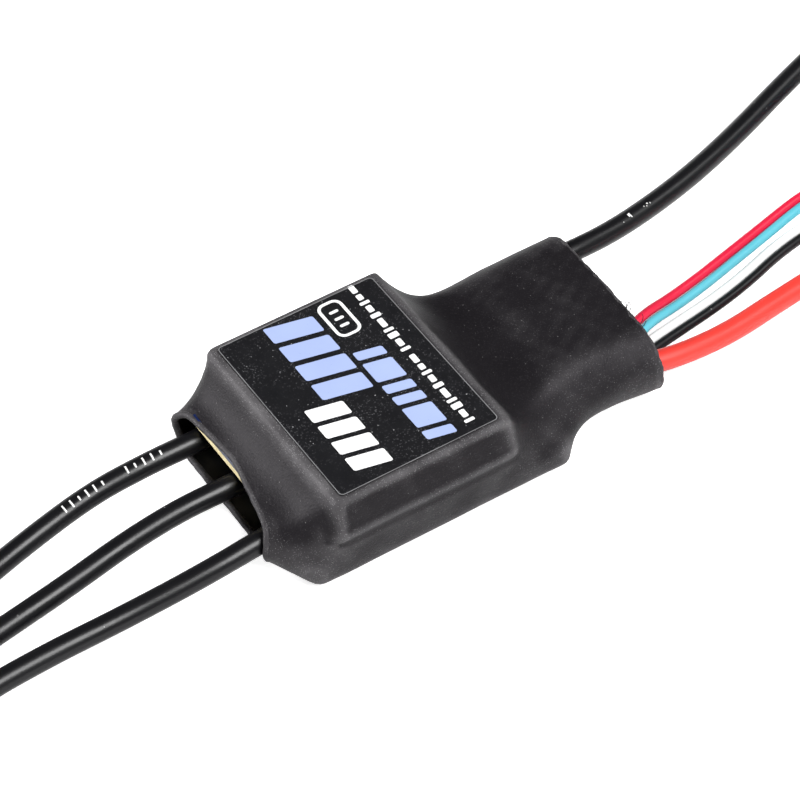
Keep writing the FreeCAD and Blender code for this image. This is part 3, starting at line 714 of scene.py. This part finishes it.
def addMarks(name, facts, line):
    run = np.cumsum([0] + [(b - a).length / mm for a, b in zip(line, line[1:])])
    corners, faces = [], []
    radius = leadThickness / 2 + facts["ink"]
    for first, length, reach, lean in facts["patches"]:
        faces += gridFaces(markRows, markColumns, len(corners), closed=False)
        for step in range(markRows):
            wanted = first + length * step / (markRows - 1)
            k = int(np.searchsorted(run, wanted))
            along = (line[k] - line[k - 1]).normalized()
            middle = line[k - 1].lerp(line[k], (wanted - run[k - 1]) / (run[k] - run[k - 1])) / mm
            side = along.cross(Vector((0, 0, 1))).normalized()
            up = side.cross(along)
            for turn in range(markColumns):
                angle = lean + reach * (2 * turn / (markColumns - 1) - 1)
                corners.append(middle + (up * math.cos(angle) + side * math.sin(angle)) * radius)
    return dress(newMesh(name, corners, faces), "white_wire")


# Latch windows on top of each housing, with the contact's latch in them: length and width. The window is a dark sheet
# of painted shade standing for the hole round the latch, and it begins a set way from the housing's end.
windows = {
    "pitch": 2.54,
    "from": 7.6,
    # the window: a dark sheet of painted shade where the hole would be
    "window_shade": {"size": (2.8, 1.25), "finish": "sleeve_inside", "up": 0.02},
    "latch": {"size": (1.5, 0.62), "finish": "plug_plastic", "up": 0.06},
}


def addWindows(name, housing, facts):
    low, high = (Vector(corner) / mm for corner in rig.box(housing))
    left, (length, width) = low.x + windows["from"], facts["size"]
    points, faces = [], []
    for way in range(round((high.y - low.y) / windows["pitch"])):
        across = low.y + (way + 0.5) * windows["pitch"]
        ring = roundedOutline(left, left + length, across - width / 2, across + width / 2, width / 5)
        base, number = len(points), len(ring)
        points += [(x, y, high.z + level) for level in (0, facts["up"]) for x, y in ring]
        faces += gridFaces(2, number, base)
        faces.append(tuple(base + number + k for k in range(number)))
    return dress(newMesh(name, points, faces, smooth=False), facts["finish"], "plug_plastic")


for name, facts in leads.items():
    piece = addCord(name, facts["route"], leadThickness, facts.get("finish", "black_silicone"))
    end = addTip(name, facts["route"])
    inked = [addMarks(mark, ink, smoothLine(piece)) for mark, ink in marks.items() if ink["lead"] == name]
    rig.replaces(piece, name)
    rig.replaces(end, name.split("_")[0] + "_lead_tips")
    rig.cord(piece, exit=tuple(v * mm for v in facts["exit"]), length=facts["length"] * mm,
            diameter=leadThickness * mm, far_end="bare", stiffness="medium", lay="loose",
            with_pieces=[end] + inked)

onPlug = {}
for pair in coils:
    housing = pair + "_plug_housing"
    onPlug[pair] = [
        addWindows(pair + "_plug_window_shade", housing, windows["window_shade"]),
        addWindows(pair + "_plug_latches", housing, windows["latch"]),
    ]

for name, facts in wires.items():
    points = facts["route"] + coilTurns(name, facts["route"][-1][2]) + facts["tail"]
    piece = addCord(name, points, wireThickness, facts["finish"])
    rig.replaces(piece, name, facts["coil"] + "_wire_coil")
    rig.cord(piece, exit=tuple(v * mm for v in facts["exit"]), length=facts["length"] * mm,
            diameter=wireThickness * mm, far_end="connector", stiffness="limp", lay="coiled",
            with_pieces=list(coils[facts["coil"]]["plug"]) + onPlug[facts["coil"]])

print("leads and wires laid")

# Heat-shrink sleeve. Each ring: its place along X, then (across, up) for the far side's five corners from the
# bottom up, the crown, and the near side's back down unless they mirror the far side's.
sleeve = {
    "wall": 0.68,
    "step": 0.36,             # of the mesh's squares
    "sizedBy": 6,             # the ring whose sides set how many squares lie between two corners
    "rounds": 46,             # smoothing passes where the sleeve hangs free, and how far each one goes
    "pull": 0.9,
    "rimPull": 0.5,           # the same for the two cut rims, along the rim only
    "waves": [(0.03, 7, 3), (0.008, 2.6, 4)],               # height, size, seed
    "stillAbove": 13.4,       # no wave, dent or crease above this height
    "flat": {"above": 13.6, "within": 14.9, "top": 13.99},    # the face under the label
    "rims": [("motor_mouth_rim", 0, -1, 0.46, 0.05, 21), ("battery_mouth_rim", -1, 1, 0.37, 0.13, 31)],
    # worn and lit edges: the bend that counts as fully worn, the paler colour there partly wear and partly painted
    # highlight. Dust: its top, its fade, its share, its size and seed.
    "wornAndLitBend": 0.35,
    "dust": {"below": 8.4, "fade": 2.5, "share": 0.22, "patches": (0.6, 5, 7)},
    "bevel": {"width": 0.14, "segments": 2, "angle": 55},
    # what keeps it from rounding, on both sides: a line's two ends, the least freedom at it, and its reach
    "sharp": [
        ((-21.25, 15.05, 13.9), (3.5, 15.05, 13.9), 0.03, 2.4),
        ((-21.25, 15.05, 13.9), (-21.25, 0, 14), 0.03, 2.4),
        ((3.5, 15.05, 13.9), (3.5, 0, 14), 0.04, 2.6),
        ((-21.25, 15.05, 13.9), (-21.6, 16.5, 8.6), 0.05, 1.6),
        ((3.5, 15.05, 13.9), (3.9, 16.5, 8.6), 0.12, 1.8),
        ((-21.6, 16.5, 8.6), (3.9, 16.5, 8.6), 0.06, 1.7),
        ((-24.7, 15.6, 1.2), (-24.7, 15.6, 3.1), 0.06, 2),
        ((12.2, 15.8, 1.1), (12.2, 15.7, 3), 0.06, 2),
        ((-24.7, 15.7, 3.2), (12.2, 15.8, 3.2), 0.35, 1.6),
        ((-24.7, 15.7, 1.1), (12.2, 15.8, 1.1), 0.15, 1.6),
    ],
    "rings": [
        (-26.6, (12.3, 0.5), (13.6, 1.8), (14, 4.5), (13.8, 6.8), (12, 8.6), (1.5, 9.1),
         (-9, 8.6), (-10.8, 6.9), (-11, 4.6), (-10.2, 2.6), (-8.6, 1.2)),
        (-25.6, (13.6, 0.2), (14.8, 1.4), (14.9, 3.8), (14.1, 6.9), (11.8, 8.8), (1, 9.4),
         (-10.2, 8.9), (-12.2, 7), (-13.2, 4.2), (-13, 2.4), (-11.2, 1)),
        (-24.7, (14.6, 0), (16, 1.1), (16, 3.3), (14.2, 6.9), (11.9, 9), (0.5, 9.9),
         (-11.4, 9.4), (-13.6, 7.2), (-16, 3.3), (-16, 1.1), (-14.6, 0)),
        (-23.2, (14.6, 0), (15.8, 1.1), (15.9, 3.4), (15.2, 7.2), (12.4, 9.7), (0, 11),
         (-12.9, 10.4), (-15.3, 7.7), (-15.9, 3.4), (-15.8, 1.1), (-14.6, 0)),
        (-22, (14.6, 0), (15.8, 1.1), (16, 3.4), (16.1, 7.9), (13.9, 10.9), (0, 12.6),
         (-14.4, 12.1), (-16.5, 8.4), (-16, 3.4), (-15.8, 1.1), (-14.6, 0)),
        (-21.25, (14.6, 0), (15.85, 1.1), (16, 3.4), (16.5, 8.75), (15.05, 13.9), (0, 14)),
        (3.5, (14.6, 0), (15.85, 1.1), (16, 3.4), (16.5, 8.75), (15.05, 13.9), (0, 14)),
        (4.6, (14.6, 0), (15.85, 1.1), (16, 3.4), (16.1, 8.2), (14.2, 12.2), (0, 12.4)),
        (6.2, (14.6, 0), (15.85, 1.1), (16, 3.3), (15.3, 7.3), (13, 10.3), (0.2, 10.5)),
        (9, (14.6, 0), (15.85, 1.1), (15.9, 3.1), (14.3, 6.4), (11.5, 9.1), (0.6, 9.25),
         (-11.3, 9), (-14.2, 6.4), (-15.9, 3.1), (-15.85, 1.1), (-14.6, 0)),
        (12.4, (14.5, 0), (16, 1.1), (15.9, 3.2), (13.7, 6.2), (10.9, 9.2), (0.9, 9.6),
         (-10.2, 9.1), (-13.2, 6.2), (-15.9, 3.2), (-16, 1.1), (-14.5, 0)),
        (14.6, (11.6, 0.1), (13.8, 1.8), (13.9, 4.4), (13.5, 6.9), (10.8, 9.5), (1.1, 10.1),
         (-9.2, 9.5), (-12.2, 6.9), (-13.5, 4.2), (-13.9, 1.3), (-11.8, 0.05)),
        (17.5, (10.9, 0.2), (13.4, 2.2), (14, 4.8), (13.7, 7), (11, 9.7), (1.2, 10.25),
         (-8.8, 9.6), (-11.4, 7), (-12.3, 4.4), (-12.4, 1.5), (-10.2, 0.05)),
        (22, (10.8, 0.2), (13.2, 2.2), (14, 4.8), (13.6, 7.1), (11, 9.95), (1.2, 10.3),
         (-8.7, 9.6), (-11.3, 7), (-12.2, 4.4), (-12.2, 1.5), (-10, 0.05)),
        (28.7, (9.6, 0.25), (12.9, 2.2), (13.6, 4.9), (13.3, 7.6), (10.7, 9.9), (0.7, 9.8),
         (-9.2, 9.1), (-12.1, 6.8), (-13.1, 4.2), (-13.1, 1.3), (-10.6, 0.05)),
    ],
    # how far the cut rim leans out at each corner of the first ring
    "rimLean": (-0.25, -0.4, -0.7, -0.9, 0.1, 0.8, -1.2, -2.2, -2.7, -1.8, -0.6),
    "rimReach": 3,
    # ridges (negative) and grooves along lines, on both sides: two ends, radius, depth
    "creases": [
        ((-21.5, 16.5, 8.75), (3.8, 16.5, 8.75), 0.5, -0.1),
        ((-21.5, 16.3, 7.7), (3.8, 16.3, 7.7), 0.7, 0.12),
        ((-21.25, 15.05, 13.7), (-21.6, 16.5, 8.6), 0.6, -0.12),
        ((-22.4, 15.4, 12), (-22.6, 16.4, 8.6), 0.8, 0.16),
    ],
    # dents and swellings: place, radius, depth
    "dents": [
        ((9.5, -11.5, 8.6), 3.6, 0.2), ((10.2, -2, 9.4), 3.6, 0.2), ((9, 8.5, 9.2), 3.2, 0.25),
        ((13.2, -11.8, 5.4), 2.6, 0.3), ((19.5, 3, 10.2), 4, 0.12), ((23.5, -8.8, 8.6), 2.6, 0.15),
        ((-24.2, -9, 9.6), 2.6, 0.16), ((-23.8, 6.5, 10.2), 3.4, 0.12), ((4.5, -15.9, 7.4), 1.8, 0.14),
        ((21, 11.6, 9), 2.4, 0.14), ((-14, -16.2, 5.6), 3.4, 0.12), ((-2, -16.2, 5.8), 4.2, 0.1),
    ],
}


farCorners = 5


def wholeRing(ring):
    corners = [Vector(corner) for corner in ring[1:]]
    if len(corners) == farCorners + 1:
        corners += [Vector((-corner.x, corner.y)) for corner in corners[farCorners - 1::-1]]
    return corners


def ringLine(ring, counts):
    # one ring as points a step apart, the same number between each two corners in every ring
    corners = wholeRing(ring)
    following = corners[1:] + corners[:1]
    line = [a.lerp(b, k / count) for a, b, count in zip(corners, following, counts) for k in range(count)]
    return np.array([(ring[0], point.x, point.y) for point in line])


def nearness(grid, start, end, side):
    # each point's distance from a line between two places, with the places mirrored where side is -1
    first, last = (np.array((place[0], place[1] * side, place[2])) for place in (start, end))
    line = last - first
    part = np.clip(((grid - first) @ line) / (line @ line), 0, 1)
    return np.linalg.norm(grid - first - part[:, :, None] * line, axis=2)


def meanAround(grid, reach=1):
    return (np.roll(grid, reach, axis=1) + np.roll(grid, -reach, axis=1)) / 2


def sleeveGrid():
    # rows of points: straight between the rings, then drawn smooth like shrunk film
    widest = wholeRing(sleeve["rings"][sleeve["sizedBy"]])
    sides = [(a - b).length for a, b in zip(widest, widest[1:] + widest[:1])]
    counts = [max(3, round(side / sleeve["step"])) for side in sides]
    lines = [ringLine(ring, counts) for ring in sleeve["rings"]]
    rows = []
    for first, second in zip(lines, lines[1:]):
        count = max(2, round((second[0, 0] - first[0, 0]) / sleeve["step"]))
        rows += [first + (second - first) * k / count for k in range(count)]
    rows.append(lines[-1])
    grid = np.array(rows)

    corners = np.cumsum([0] + counts)
    lean = np.interp(np.arange(grid.shape[1]), corners, sleeve["rimLean"] + sleeve["rimLean"][:1])
    fade = np.clip(1 - (grid[:, :1, 0] - grid[0, 0, 0]) / sleeve["rimReach"], 0, 1)
    grid[:, :, 0] += lean[None, :] * fade

    effort = np.ones(grid.shape[:2])
    for start, end, least, reach in sleeve["sharp"]:
        for side in (1, -1):
            effort = np.minimum(effort, np.clip(nearness(grid, start, end, side) / reach, least, 1))
    effort[0] = effort[-1] = 0.0
    for _ in range(sleeve["rounds"]):
        near = grid.copy()
        near[1:-1] = (grid[2:] + grid[:-2]) / 2
        wanted = (near + meanAround(grid)) / 2
        grid += (wanted - grid) * (sleeve["pull"] * effort)[:, :, None]
        ends = meanAround(grid[[0, -1]])
        grid[[0, -1]] += (ends - grid[[0, -1]]) * sleeve["rimPull"]
    return grid


def gridNormals(grid):
    along = np.gradient(grid, axis=0)
    around = np.roll(grid, -1, axis=1) - np.roll(grid, 1, axis=1)
    normal = np.cross(around, along)
    normal /= np.linalg.norm(normal, axis=2, keepdims=True) + 1e-12
    return normal


noise = {"waves": 14, "spread": (0.6, 1.5), "divideBy": 4.5}


def softNoise(points, size, seed):
    # smooth wandering values, mostly between -1 and 1: a few waves laid over each other
    draw = random.Random(seed)
    total = np.zeros(points.shape[:-1])
    for _ in range(noise["waves"]):
        way = np.array([draw.gauss(0, 1) for _ in range(3)])
        way *= 2 * math.pi / size * draw.uniform(*noise["spread"]) / np.linalg.norm(way)
        total += np.sin(points @ way + draw.uniform(0, 2 * math.pi))
    return total / noise["divideBy"]


def addWear(piece, values):
    mark = piece.data.attributes.new("wear_dust_and_highlight", "FLOAT", "POINT")
    mark.data.foreach_set("value", np.asarray(values, dtype=np.float32).reshape(-1))


def pressedGrid():
    # the drawn film with its creases, dents and waves
    grid = sleeveGrid()
    normal = gridNormals(grid)
    if ((grid - grid.mean(axis=1, keepdims=True)) * normal).sum() < 0:
        normal = -normal
    height, flat = grid[:, :, 2], sleeve["flat"]
    flatTop = (height > flat["above"]) & (abs(grid[:, :, 1]) < flat["within"])
    loose = np.where(height > sleeve["stillAbove"], 0, 1)
    press = np.zeros(grid.shape[:2])
    for start, end, radius, depth in sleeve["creases"]:
        for side in (1, -1):
            press += depth * np.exp(-(nearness(grid, start, end, side) / radius) ** 2)
    for place, radius, depth in sleeve["dents"]:
        away = np.linalg.norm(grid - np.array(place), axis=2)
        press += depth * np.exp(-(away / radius) ** 2)
    wave = sum(tall * softNoise(grid, size, seed) for tall, size, seed in sleeve["waves"])
    grid = grid + normal * ((wave - press) * loose)[:, :, None]
    height = np.maximum(grid[:, :, 2], 0)
    grid[:, :, 2] = np.where(flatTop, np.minimum(height, flat["top"]), height)
    return grid, normal


def wearOf(grid, normal):
    # paler where it bends outward, partly worn and partly painted highlight, and dusty towards the floor
    flat = meanAround(grid, 3)
    wide = flat.copy()
    wide[3:-3] = (grid[6:] + grid[:-6]) / 2
    bend = (((grid - flat) + (grid - wide)) * normal).sum(axis=2)
    dust = sleeve["dust"]
    share, size, seed = dust["patches"]
    patches = np.clip(share + share * softNoise(grid, size, seed), 0, 1)
    low = np.clip((dust["below"] - grid[:, :, 2]) / dust["fade"], 0, 1)
    return np.clip(bend / sleeve["wornAndLitBend"], 0, 1) + dust["share"] * low * patches


def addSleeve():
    grid, normal = pressedGrid()
    for name, row, facing, radius, ragged, seed in sleeve["rims"]:
        addRim(name, grid[row], normal[row], facing, radius, ragged, seed)
    addBurrs(grid[-1])
    rows, columns = grid.shape[:2]
    piece = newMesh("sleeve_skin", grid.reshape(-1, 3), gridFaces(rows, columns, turned=True))
    addWear(piece, wearOf(grid, normal))
    if sum(f.normal.z for f in piece.data.polygons if f.center.z > sleeve["flat"]["above"] * mm) < 0:
        piece.data.flip_normals()
    solid = piece.modifiers.new("wall", "SOLIDIFY")
    solid.thickness = sleeve["wall"] * mm
    solid.offset = -1
    solid.material_offset = 1
    edge = piece.modifiers.new("rim", "BEVEL")
    edge.width = sleeve["bevel"]["width"] * mm
    edge.segments = sleeve["bevel"]["segments"]
    edge.limit_method = "ANGLE"
    edge.angle_limit = math.radians(sleeve["bevel"]["angle"])
    dress(piece, "sleeve")
    # the inner wall takes the darker copy of the film as painted shade
    piece.data.materials.append(finishes["sleeve_inside"])
    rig.replaces(piece, "heat_shrink_sleeve")


rim = {
    "sides": 10,
    # the lip's value in the wear and highlight mask: it paints the whole rim paler, a painted highlight
    "wear_dust_and_highlight": 0.55,
    "rough": [(1, 1.3), (0.5, 0.5)],     # share of the raggedness and size, for the lip's thickness
    "wander": (0.5, 2.4),                  # the same for the line it follows
}


def addRim(name, line, outward, facing, radius, ragged, seed):
    # the cut end of the wall: a rounded lip, uneven where the knife tore it
    along = np.roll(line, -1, axis=0) - np.roll(line, 1, axis=0)
    along /= np.linalg.norm(along, axis=1, keepdims=True)
    ahead = np.cross(along, outward)
    ahead *= np.sign(ahead[:, :1]) * facing
    rough = 1
    for k, (share, size) in enumerate(rim["rough"]):
        rough = rough + share * ragged * softNoise(line, size, seed + k)
    share, size = rim["wander"]
    wander = share * ragged * softNoise(line, size, seed + 2)
    middle = line - outward * sleeve["wall"] / 2 + ahead * wander[:, None]
    points = [middle[row] + (outward[row] * x + ahead[row] * y) * radius * rough[row]
              for row in range(len(line)) for x, y in circle(rim["sides"])]
    piece = newMesh(name, points, gridFaces(len(line), rim["sides"], looped=True))
    # the lip is painted paler all round, a painted highlight along the cut rim
    addWear(piece, np.full(len(points), rim["wear_dust_and_highlight"]))
    dress(piece, "sleeve")
    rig.replaces(piece, "heat_shrink_sleeve")


# Threads that the knife pulled out of the cut end: the place across, the first slope in degrees, the length,
# and the turn in degrees from root to tip.
burrs = {
    "radius": 0.055,
    "thinning": 0.5,
    "sides": 6,
    "steps": 12,
    "sunk": 0.1,
    "sideways": 0.25,
    "threads": [(-4.2, 60, 2.3, 170), (-4.5, 95, 1.9, -150), (-4.9, 35, 1.7, 120), (-7.4, 20, 1.6, 100),
                (-7.8, -10, 1.1, 90), (2.6, 50, 0.8, 80)],
}


def addBurrs(line):
    corners, faces = [], []
    sides, steps = burrs["sides"], burrs["steps"]
    onTop = [point for point in line if point[2] > line[:, 2].mean()]
    for across, slope, length, turn in burrs["threads"]:
        place = Vector(min(onTop, key=lambda point: abs(point[1] - across)))
        place.x += burrs["sunk"]
        base = len(corners)
        for row in range(steps + 1):
            part = row / steps
            angle = math.radians(slope + turn * part)
            along = Vector((math.cos(angle), burrs["sideways"], math.sin(angle))).normalized()
            over = along.cross(Vector((0, 1, 0))).normalized()
            radius = burrs["radius"] * (1 - burrs["thinning"] * part)
            corners += [place + (over * x + over.cross(along) * y) * radius for x, y in circle(sides)]
            place = place + along * length / steps
        last = base + steps * sides
        faces += gridFaces(steps + 1, sides, base)
        faces += [tuple(range(base, base + sides)), tuple(range(last, last + sides))[::-1]]
    piece = dress(newMesh("battery_mouth_burrs", corners, faces), "black_silicone", "sleeve")
    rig.replaces(piece, "heat_shrink_sleeve")


addSleeve()
print("sleeve drawn")

labelLook = {
    "scales": {"Grain_Scale": 3000, "Mottle_Scale": 420},
    "tones": ((0.0055, 0.0055, 0.0065), (0.01, 0.01, 0.0115)),
    "powder": {"Speck_Scale": 5200, "Speck_Size": 0.42, "Cover": 0.34},
    "powderColour": (0.17, 0.17, 0.18),
    "patches": {"Mottle_Scale": 150},
    "patchStops": [(0.38, 0.05), (0.66, 0.7)],
    "specks": {"Speck_Scale": 1700, "Speck_Size": 0.14, "Cover": 0.3},
    "speckColour": (0.33, 0.33, 0.34),
    "roughness": (0.3, 0.15),
    "specular": 0.28,
    "bump": (0.5, 0.00001),
}


def labelFinish():
    # dark printed film, with powder in patches and larger specks
    look = labelLook
    material, tree, shader = newMaterial("labelFilm")
    texture = placeGroup(tree, grainGroup, **look["scales"])
    powder = placeGroup(tree, dustGroup, **look["powder"]).outputs["Mask"]
    specks = placeGroup(tree, dustGroup, **look["specks"]).outputs["Mask"]
    patches = placeGroup(tree, grainGroup, **look["patches"]).outputs["Mottle"]
    settled = mathNode(tree, "MULTIPLY", powder, rampNode(tree, patches, look["patchStops"]))
    base = mixColour(tree, texture.outputs["Mottle"], *look["tones"])
    base = mixColour(tree, settled, base, look["powderColour"])
    base = mixColour(tree, specks, base, look["speckColour"])
    setShader(tree, shader, Base_Color=base, Specular_IOR_Level=look["specular"])
    addTexture(tree, shader, texture, look["roughness"], look["bump"])
    return material


inkDustShade = 0.45


def inkFinish(name, colour):
    # printed ink, with pinholes where dust lay
    return satin(name, colour, 0.42, grain=4000, bump=0.000008, mottle=0.06, dust=0.25,
                 dustColour=tuple(c * inkDustShade for c in colour), dustScale=3200)


finishes["label"] = labelFinish()
finishes["white_ink"] = inkFinish("whiteInk", (0.83, 0.83, 0.83))
finishes["blue_ink"] = inkFinish("blueInk", (0.327, 0.401, 0.653))
finishes["cut_edge"] = satin("labelCutEdge", (0.16, 0.16, 0.165), 0.5, mottle=0.75, grain=900)

# Plain shapes in rows: no letters. From the label's middle, x goes to the battery end and y to the far side.
labelPrint = {
    "ink": 0.015,
    "slant": 0.22,
    "bars": [    # finish, first y, x from and to, bar widths, gap
        ("white_ink", -12.4, -7.9, -3, (2.3, 2.3, 2.3, 2.3), 0.75),
        ("blue_ink", -0.9, -4.95, 1.5, (2.9, 2.9, 2.9, 2.9), 0.85),
        ("blue_ink", -12.9, 2.2, 6, (1.5, 3.6, 1.5, 1.5, 3.6, 1.5), 0.75),
    ],
    "barCorner": 0.28,
    "pill": {"y": (7.2, 13.6), "x": (2.35, 5.85), "line": 0.42, "corner": 1.2},
    "strokes": {"places": (0.3, 0.5, 0.7), "inset": 1.1, "half": 0.22, "corner": 0.2},     # inside the pill
    "dashes": (0.5, 1.3, 0.9, 0.5, 1.6, 0.7, 1.2, 0.5, 1, 1.5),
    "dashRow": {"start": -12.8, "x": (7.5, 8.9), "gap": 0.38, "groups": 2, "groupGap": 0.6, "corner": 0.18},
    "wideDash": {"from": 1, "inset": 0.3},     # dashes this wide are also shorter
    "edge": {"out": 0.02, "in": 0.1, "corners": (0.6, 0.5)},
}


def labelCentre():
    low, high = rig.box("label")
    return (Vector(low) + Vector(high)) / 2 / mm, high[2] / mm


def addPrint(name, finish, shapes):
    # shapes: outlines, or pairs of outlines for a ring
    centre, top = labelCentre()
    points, faces = [], []
    for shape in shapes:
        rings = shape if isinstance(shape, tuple) else (shape,)
        base, count = len(points), len(rings[0])
        for ring in rings:
            for up in (0, labelPrint["ink"]):
                points += [(centre.x + x, centre.y + y, top + up) for x, y in ring]
        faces += gridFaces(2, count, base)
        if len(rings) == 1:
            faces.append(tuple(base + count + k for k in range(count)))
            continue
        inner = base + 2 * count
        for k in range(count):
            after = (k + 1) % count
            faces.append((inner + after, inner + k, inner + count + k, inner + count + after))
            faces.append((base + count + k, base + count + after, inner + count + after, inner + count + k))
    dress(newMesh(name, points, faces, smooth=False), finish, "label")


def addLabelPrint():
    shapes = {"white_ink": [], "blue_ink": []}
    for finish, along, left, right, widths, gap in labelPrint["bars"]:
        for width in widths:
            corner, slant = labelPrint["barCorner"], labelPrint["slant"]
            shapes[finish].append(roundedOutline(left, right, along, along + width, corner, slant))
            along += width + gap
    pill, strokes = labelPrint["pill"], labelPrint["strokes"]
    (near, far), (left, right) = pill["y"], pill["x"]
    line, corner = pill["line"], pill["corner"]
    outer = roundedOutline(left, right, near, far, corner)
    inner = roundedOutline(left + line, right - line, near + line, far - line, corner - line)
    shapes["white_ink"].append((outer, inner))
    left, right = left + strokes["inset"], right - strokes["inset"]
    for part in strokes["places"]:
        low, high = (near + (far - near) * part + side * strokes["half"] for side in (-1, 1))
        shapes["white_ink"].append(roundedOutline(left, right, low, high, strokes["corner"]))
    row, wide = labelPrint["dashRow"], labelPrint["wideDash"]
    along = row["start"]
    for _ in range(row["groups"]):
        for width in labelPrint["dashes"]:
            inset = 0.0 if width < wide["from"] else wide["inset"]
            left, right = row["x"][0] + inset, row["x"][1] - inset
            shapes["white_ink"].append(roundedOutline(left, right, along, along + width, row["corner"]))
            along += width + row["gap"]
        along += row["groupGap"]
    addPrint("label_print_white", "white_ink", shapes["white_ink"])
    addPrint("label_print_blue", "blue_ink", shapes["blue_ink"])


def addLabelEdge():
    low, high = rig.box("label")
    edge = labelPrint["edge"]
    outlines = []
    for grow, corner in zip((edge["out"], -edge["in"]), edge["corners"]):
        x, y = ((high[k] - low[k]) / 2 / mm + grow for k in (0, 1))
        outlines.append(roundedOutline(-x, x, -y, y, corner))
    addPrint("label_cut_edge", "cut_edge", [tuple(outlines)])


addLabelPrint()
addLabelEdge()
print("label printed")

# the frame's own pieces that stay in view get their finishes
for part in record["subparts"]:
    piece = frame["nodes"][part["node"]]
    slotName = part["material_slot"]
    if slotName in finishes:
        piece.data.materials.clear()
        piece.data.materials.append(finishes[slotName])

floor = {"half": 3000, "level": -0.03, "colour": (0.86, 0.86, 0.86), "glow": 0.72}


def addFloor():
    material, tree, shader = newMaterial("paleFloor")
    tree.nodes.remove(shader)
    rays = addNode(tree, "LightPath")
    seen = mathNode(tree, "MAXIMUM", rays.outputs["Is Camera Ray"], rays.outputs["Is Transmission Ray"])
    matt = addNode(tree, "BsdfDiffuse", Color=floor["colour"])
    strength = mathNode(tree, "MULTIPLY", seen, floor["glow"])
    glow = addNode(tree, "Emission", Color=(1, 1, 1), Strength=strength)
    both = addNode(tree, "AddShader")
    plug(tree, both.inputs[0], matt.outputs[0])
    plug(tree, both.inputs[1], glow.outputs[0])
    plug(tree, tree.nodes["Material Output"].inputs["Surface"], both.outputs[0])
    half, level = floor["half"], floor["level"]
    piece = newMesh("floor", [(x * half, y * half, level) for x, y in ((-1, -1), (1, -1), (1, 1), (-1, 1))],
                    [(0, 1, 2, 3)])
    piece.data.materials.append(material)
    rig.stage(piece)


# World: height and grey. Softboxes: name, place, width, height and watts, all aimed at the origin.
studio = {
    "sky": [(0, 0.3), (0.2, 0.16), (0.5, 0.05), (1, 0.03)],
    "softboxes": [
        ("key", (0.13, -0.4, 0.66), 0.46, 0.4, 9),
        ("right", (0.7, -0.09, 0.53), 0.3, 0.3, 1),
        ("left", (-0.66, 0.51, 0.31), 0.46, 0.34, 9),
    ],
}


def addSoftbox(name, place, width, height, watts):
    data = bpy.data.lights.new(name, "AREA")
    data.shape = "RECTANGLE"
    data.size = width
    data.size_y = height
    data.energy = watts
    lamp = bpy.data.objects.new(name, data)
    lamp.location = place
    lamp.rotation_euler = (-Vector(place)).to_track_quat("-Z", "Y").to_euler()
    bpy.context.collection.objects.link(lamp)


def addLight():
    # dark overhead and paler near the horizon, with softboxes at the front and at the sides
    world = bpy.data.worlds.new("studio")
    world.use_nodes = True
    tree = world.node_tree
    where = addNode(tree, "SeparateXYZ", Vector=addNode(tree, "TexCoord").outputs["Generated"])
    level = rampNode(tree, where.outputs["Z"], studio["sky"])
    seen = addNode(tree, "LightPath").outputs["Is Camera Ray"]
    plug(tree, tree.nodes["Background"].inputs["Color"], mixColour(tree, seen, level, (1, 1, 1)))
    bpy.context.scene.world = world
    for box in studio["softboxes"]:
        addSoftbox(*box)


addFloor()
addLight()
bpy.context.scene.view_settings.view_transform = "Standard"
print("floor and light placed")

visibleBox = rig.bounds()
with open("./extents.json", "w") as sizeFile:
    json.dump({"cad": [list(map(float, corner)) for corner in cadBox],
               "visual": [list(map(float, corner)) for corner in visibleBox]}, sizeFile)
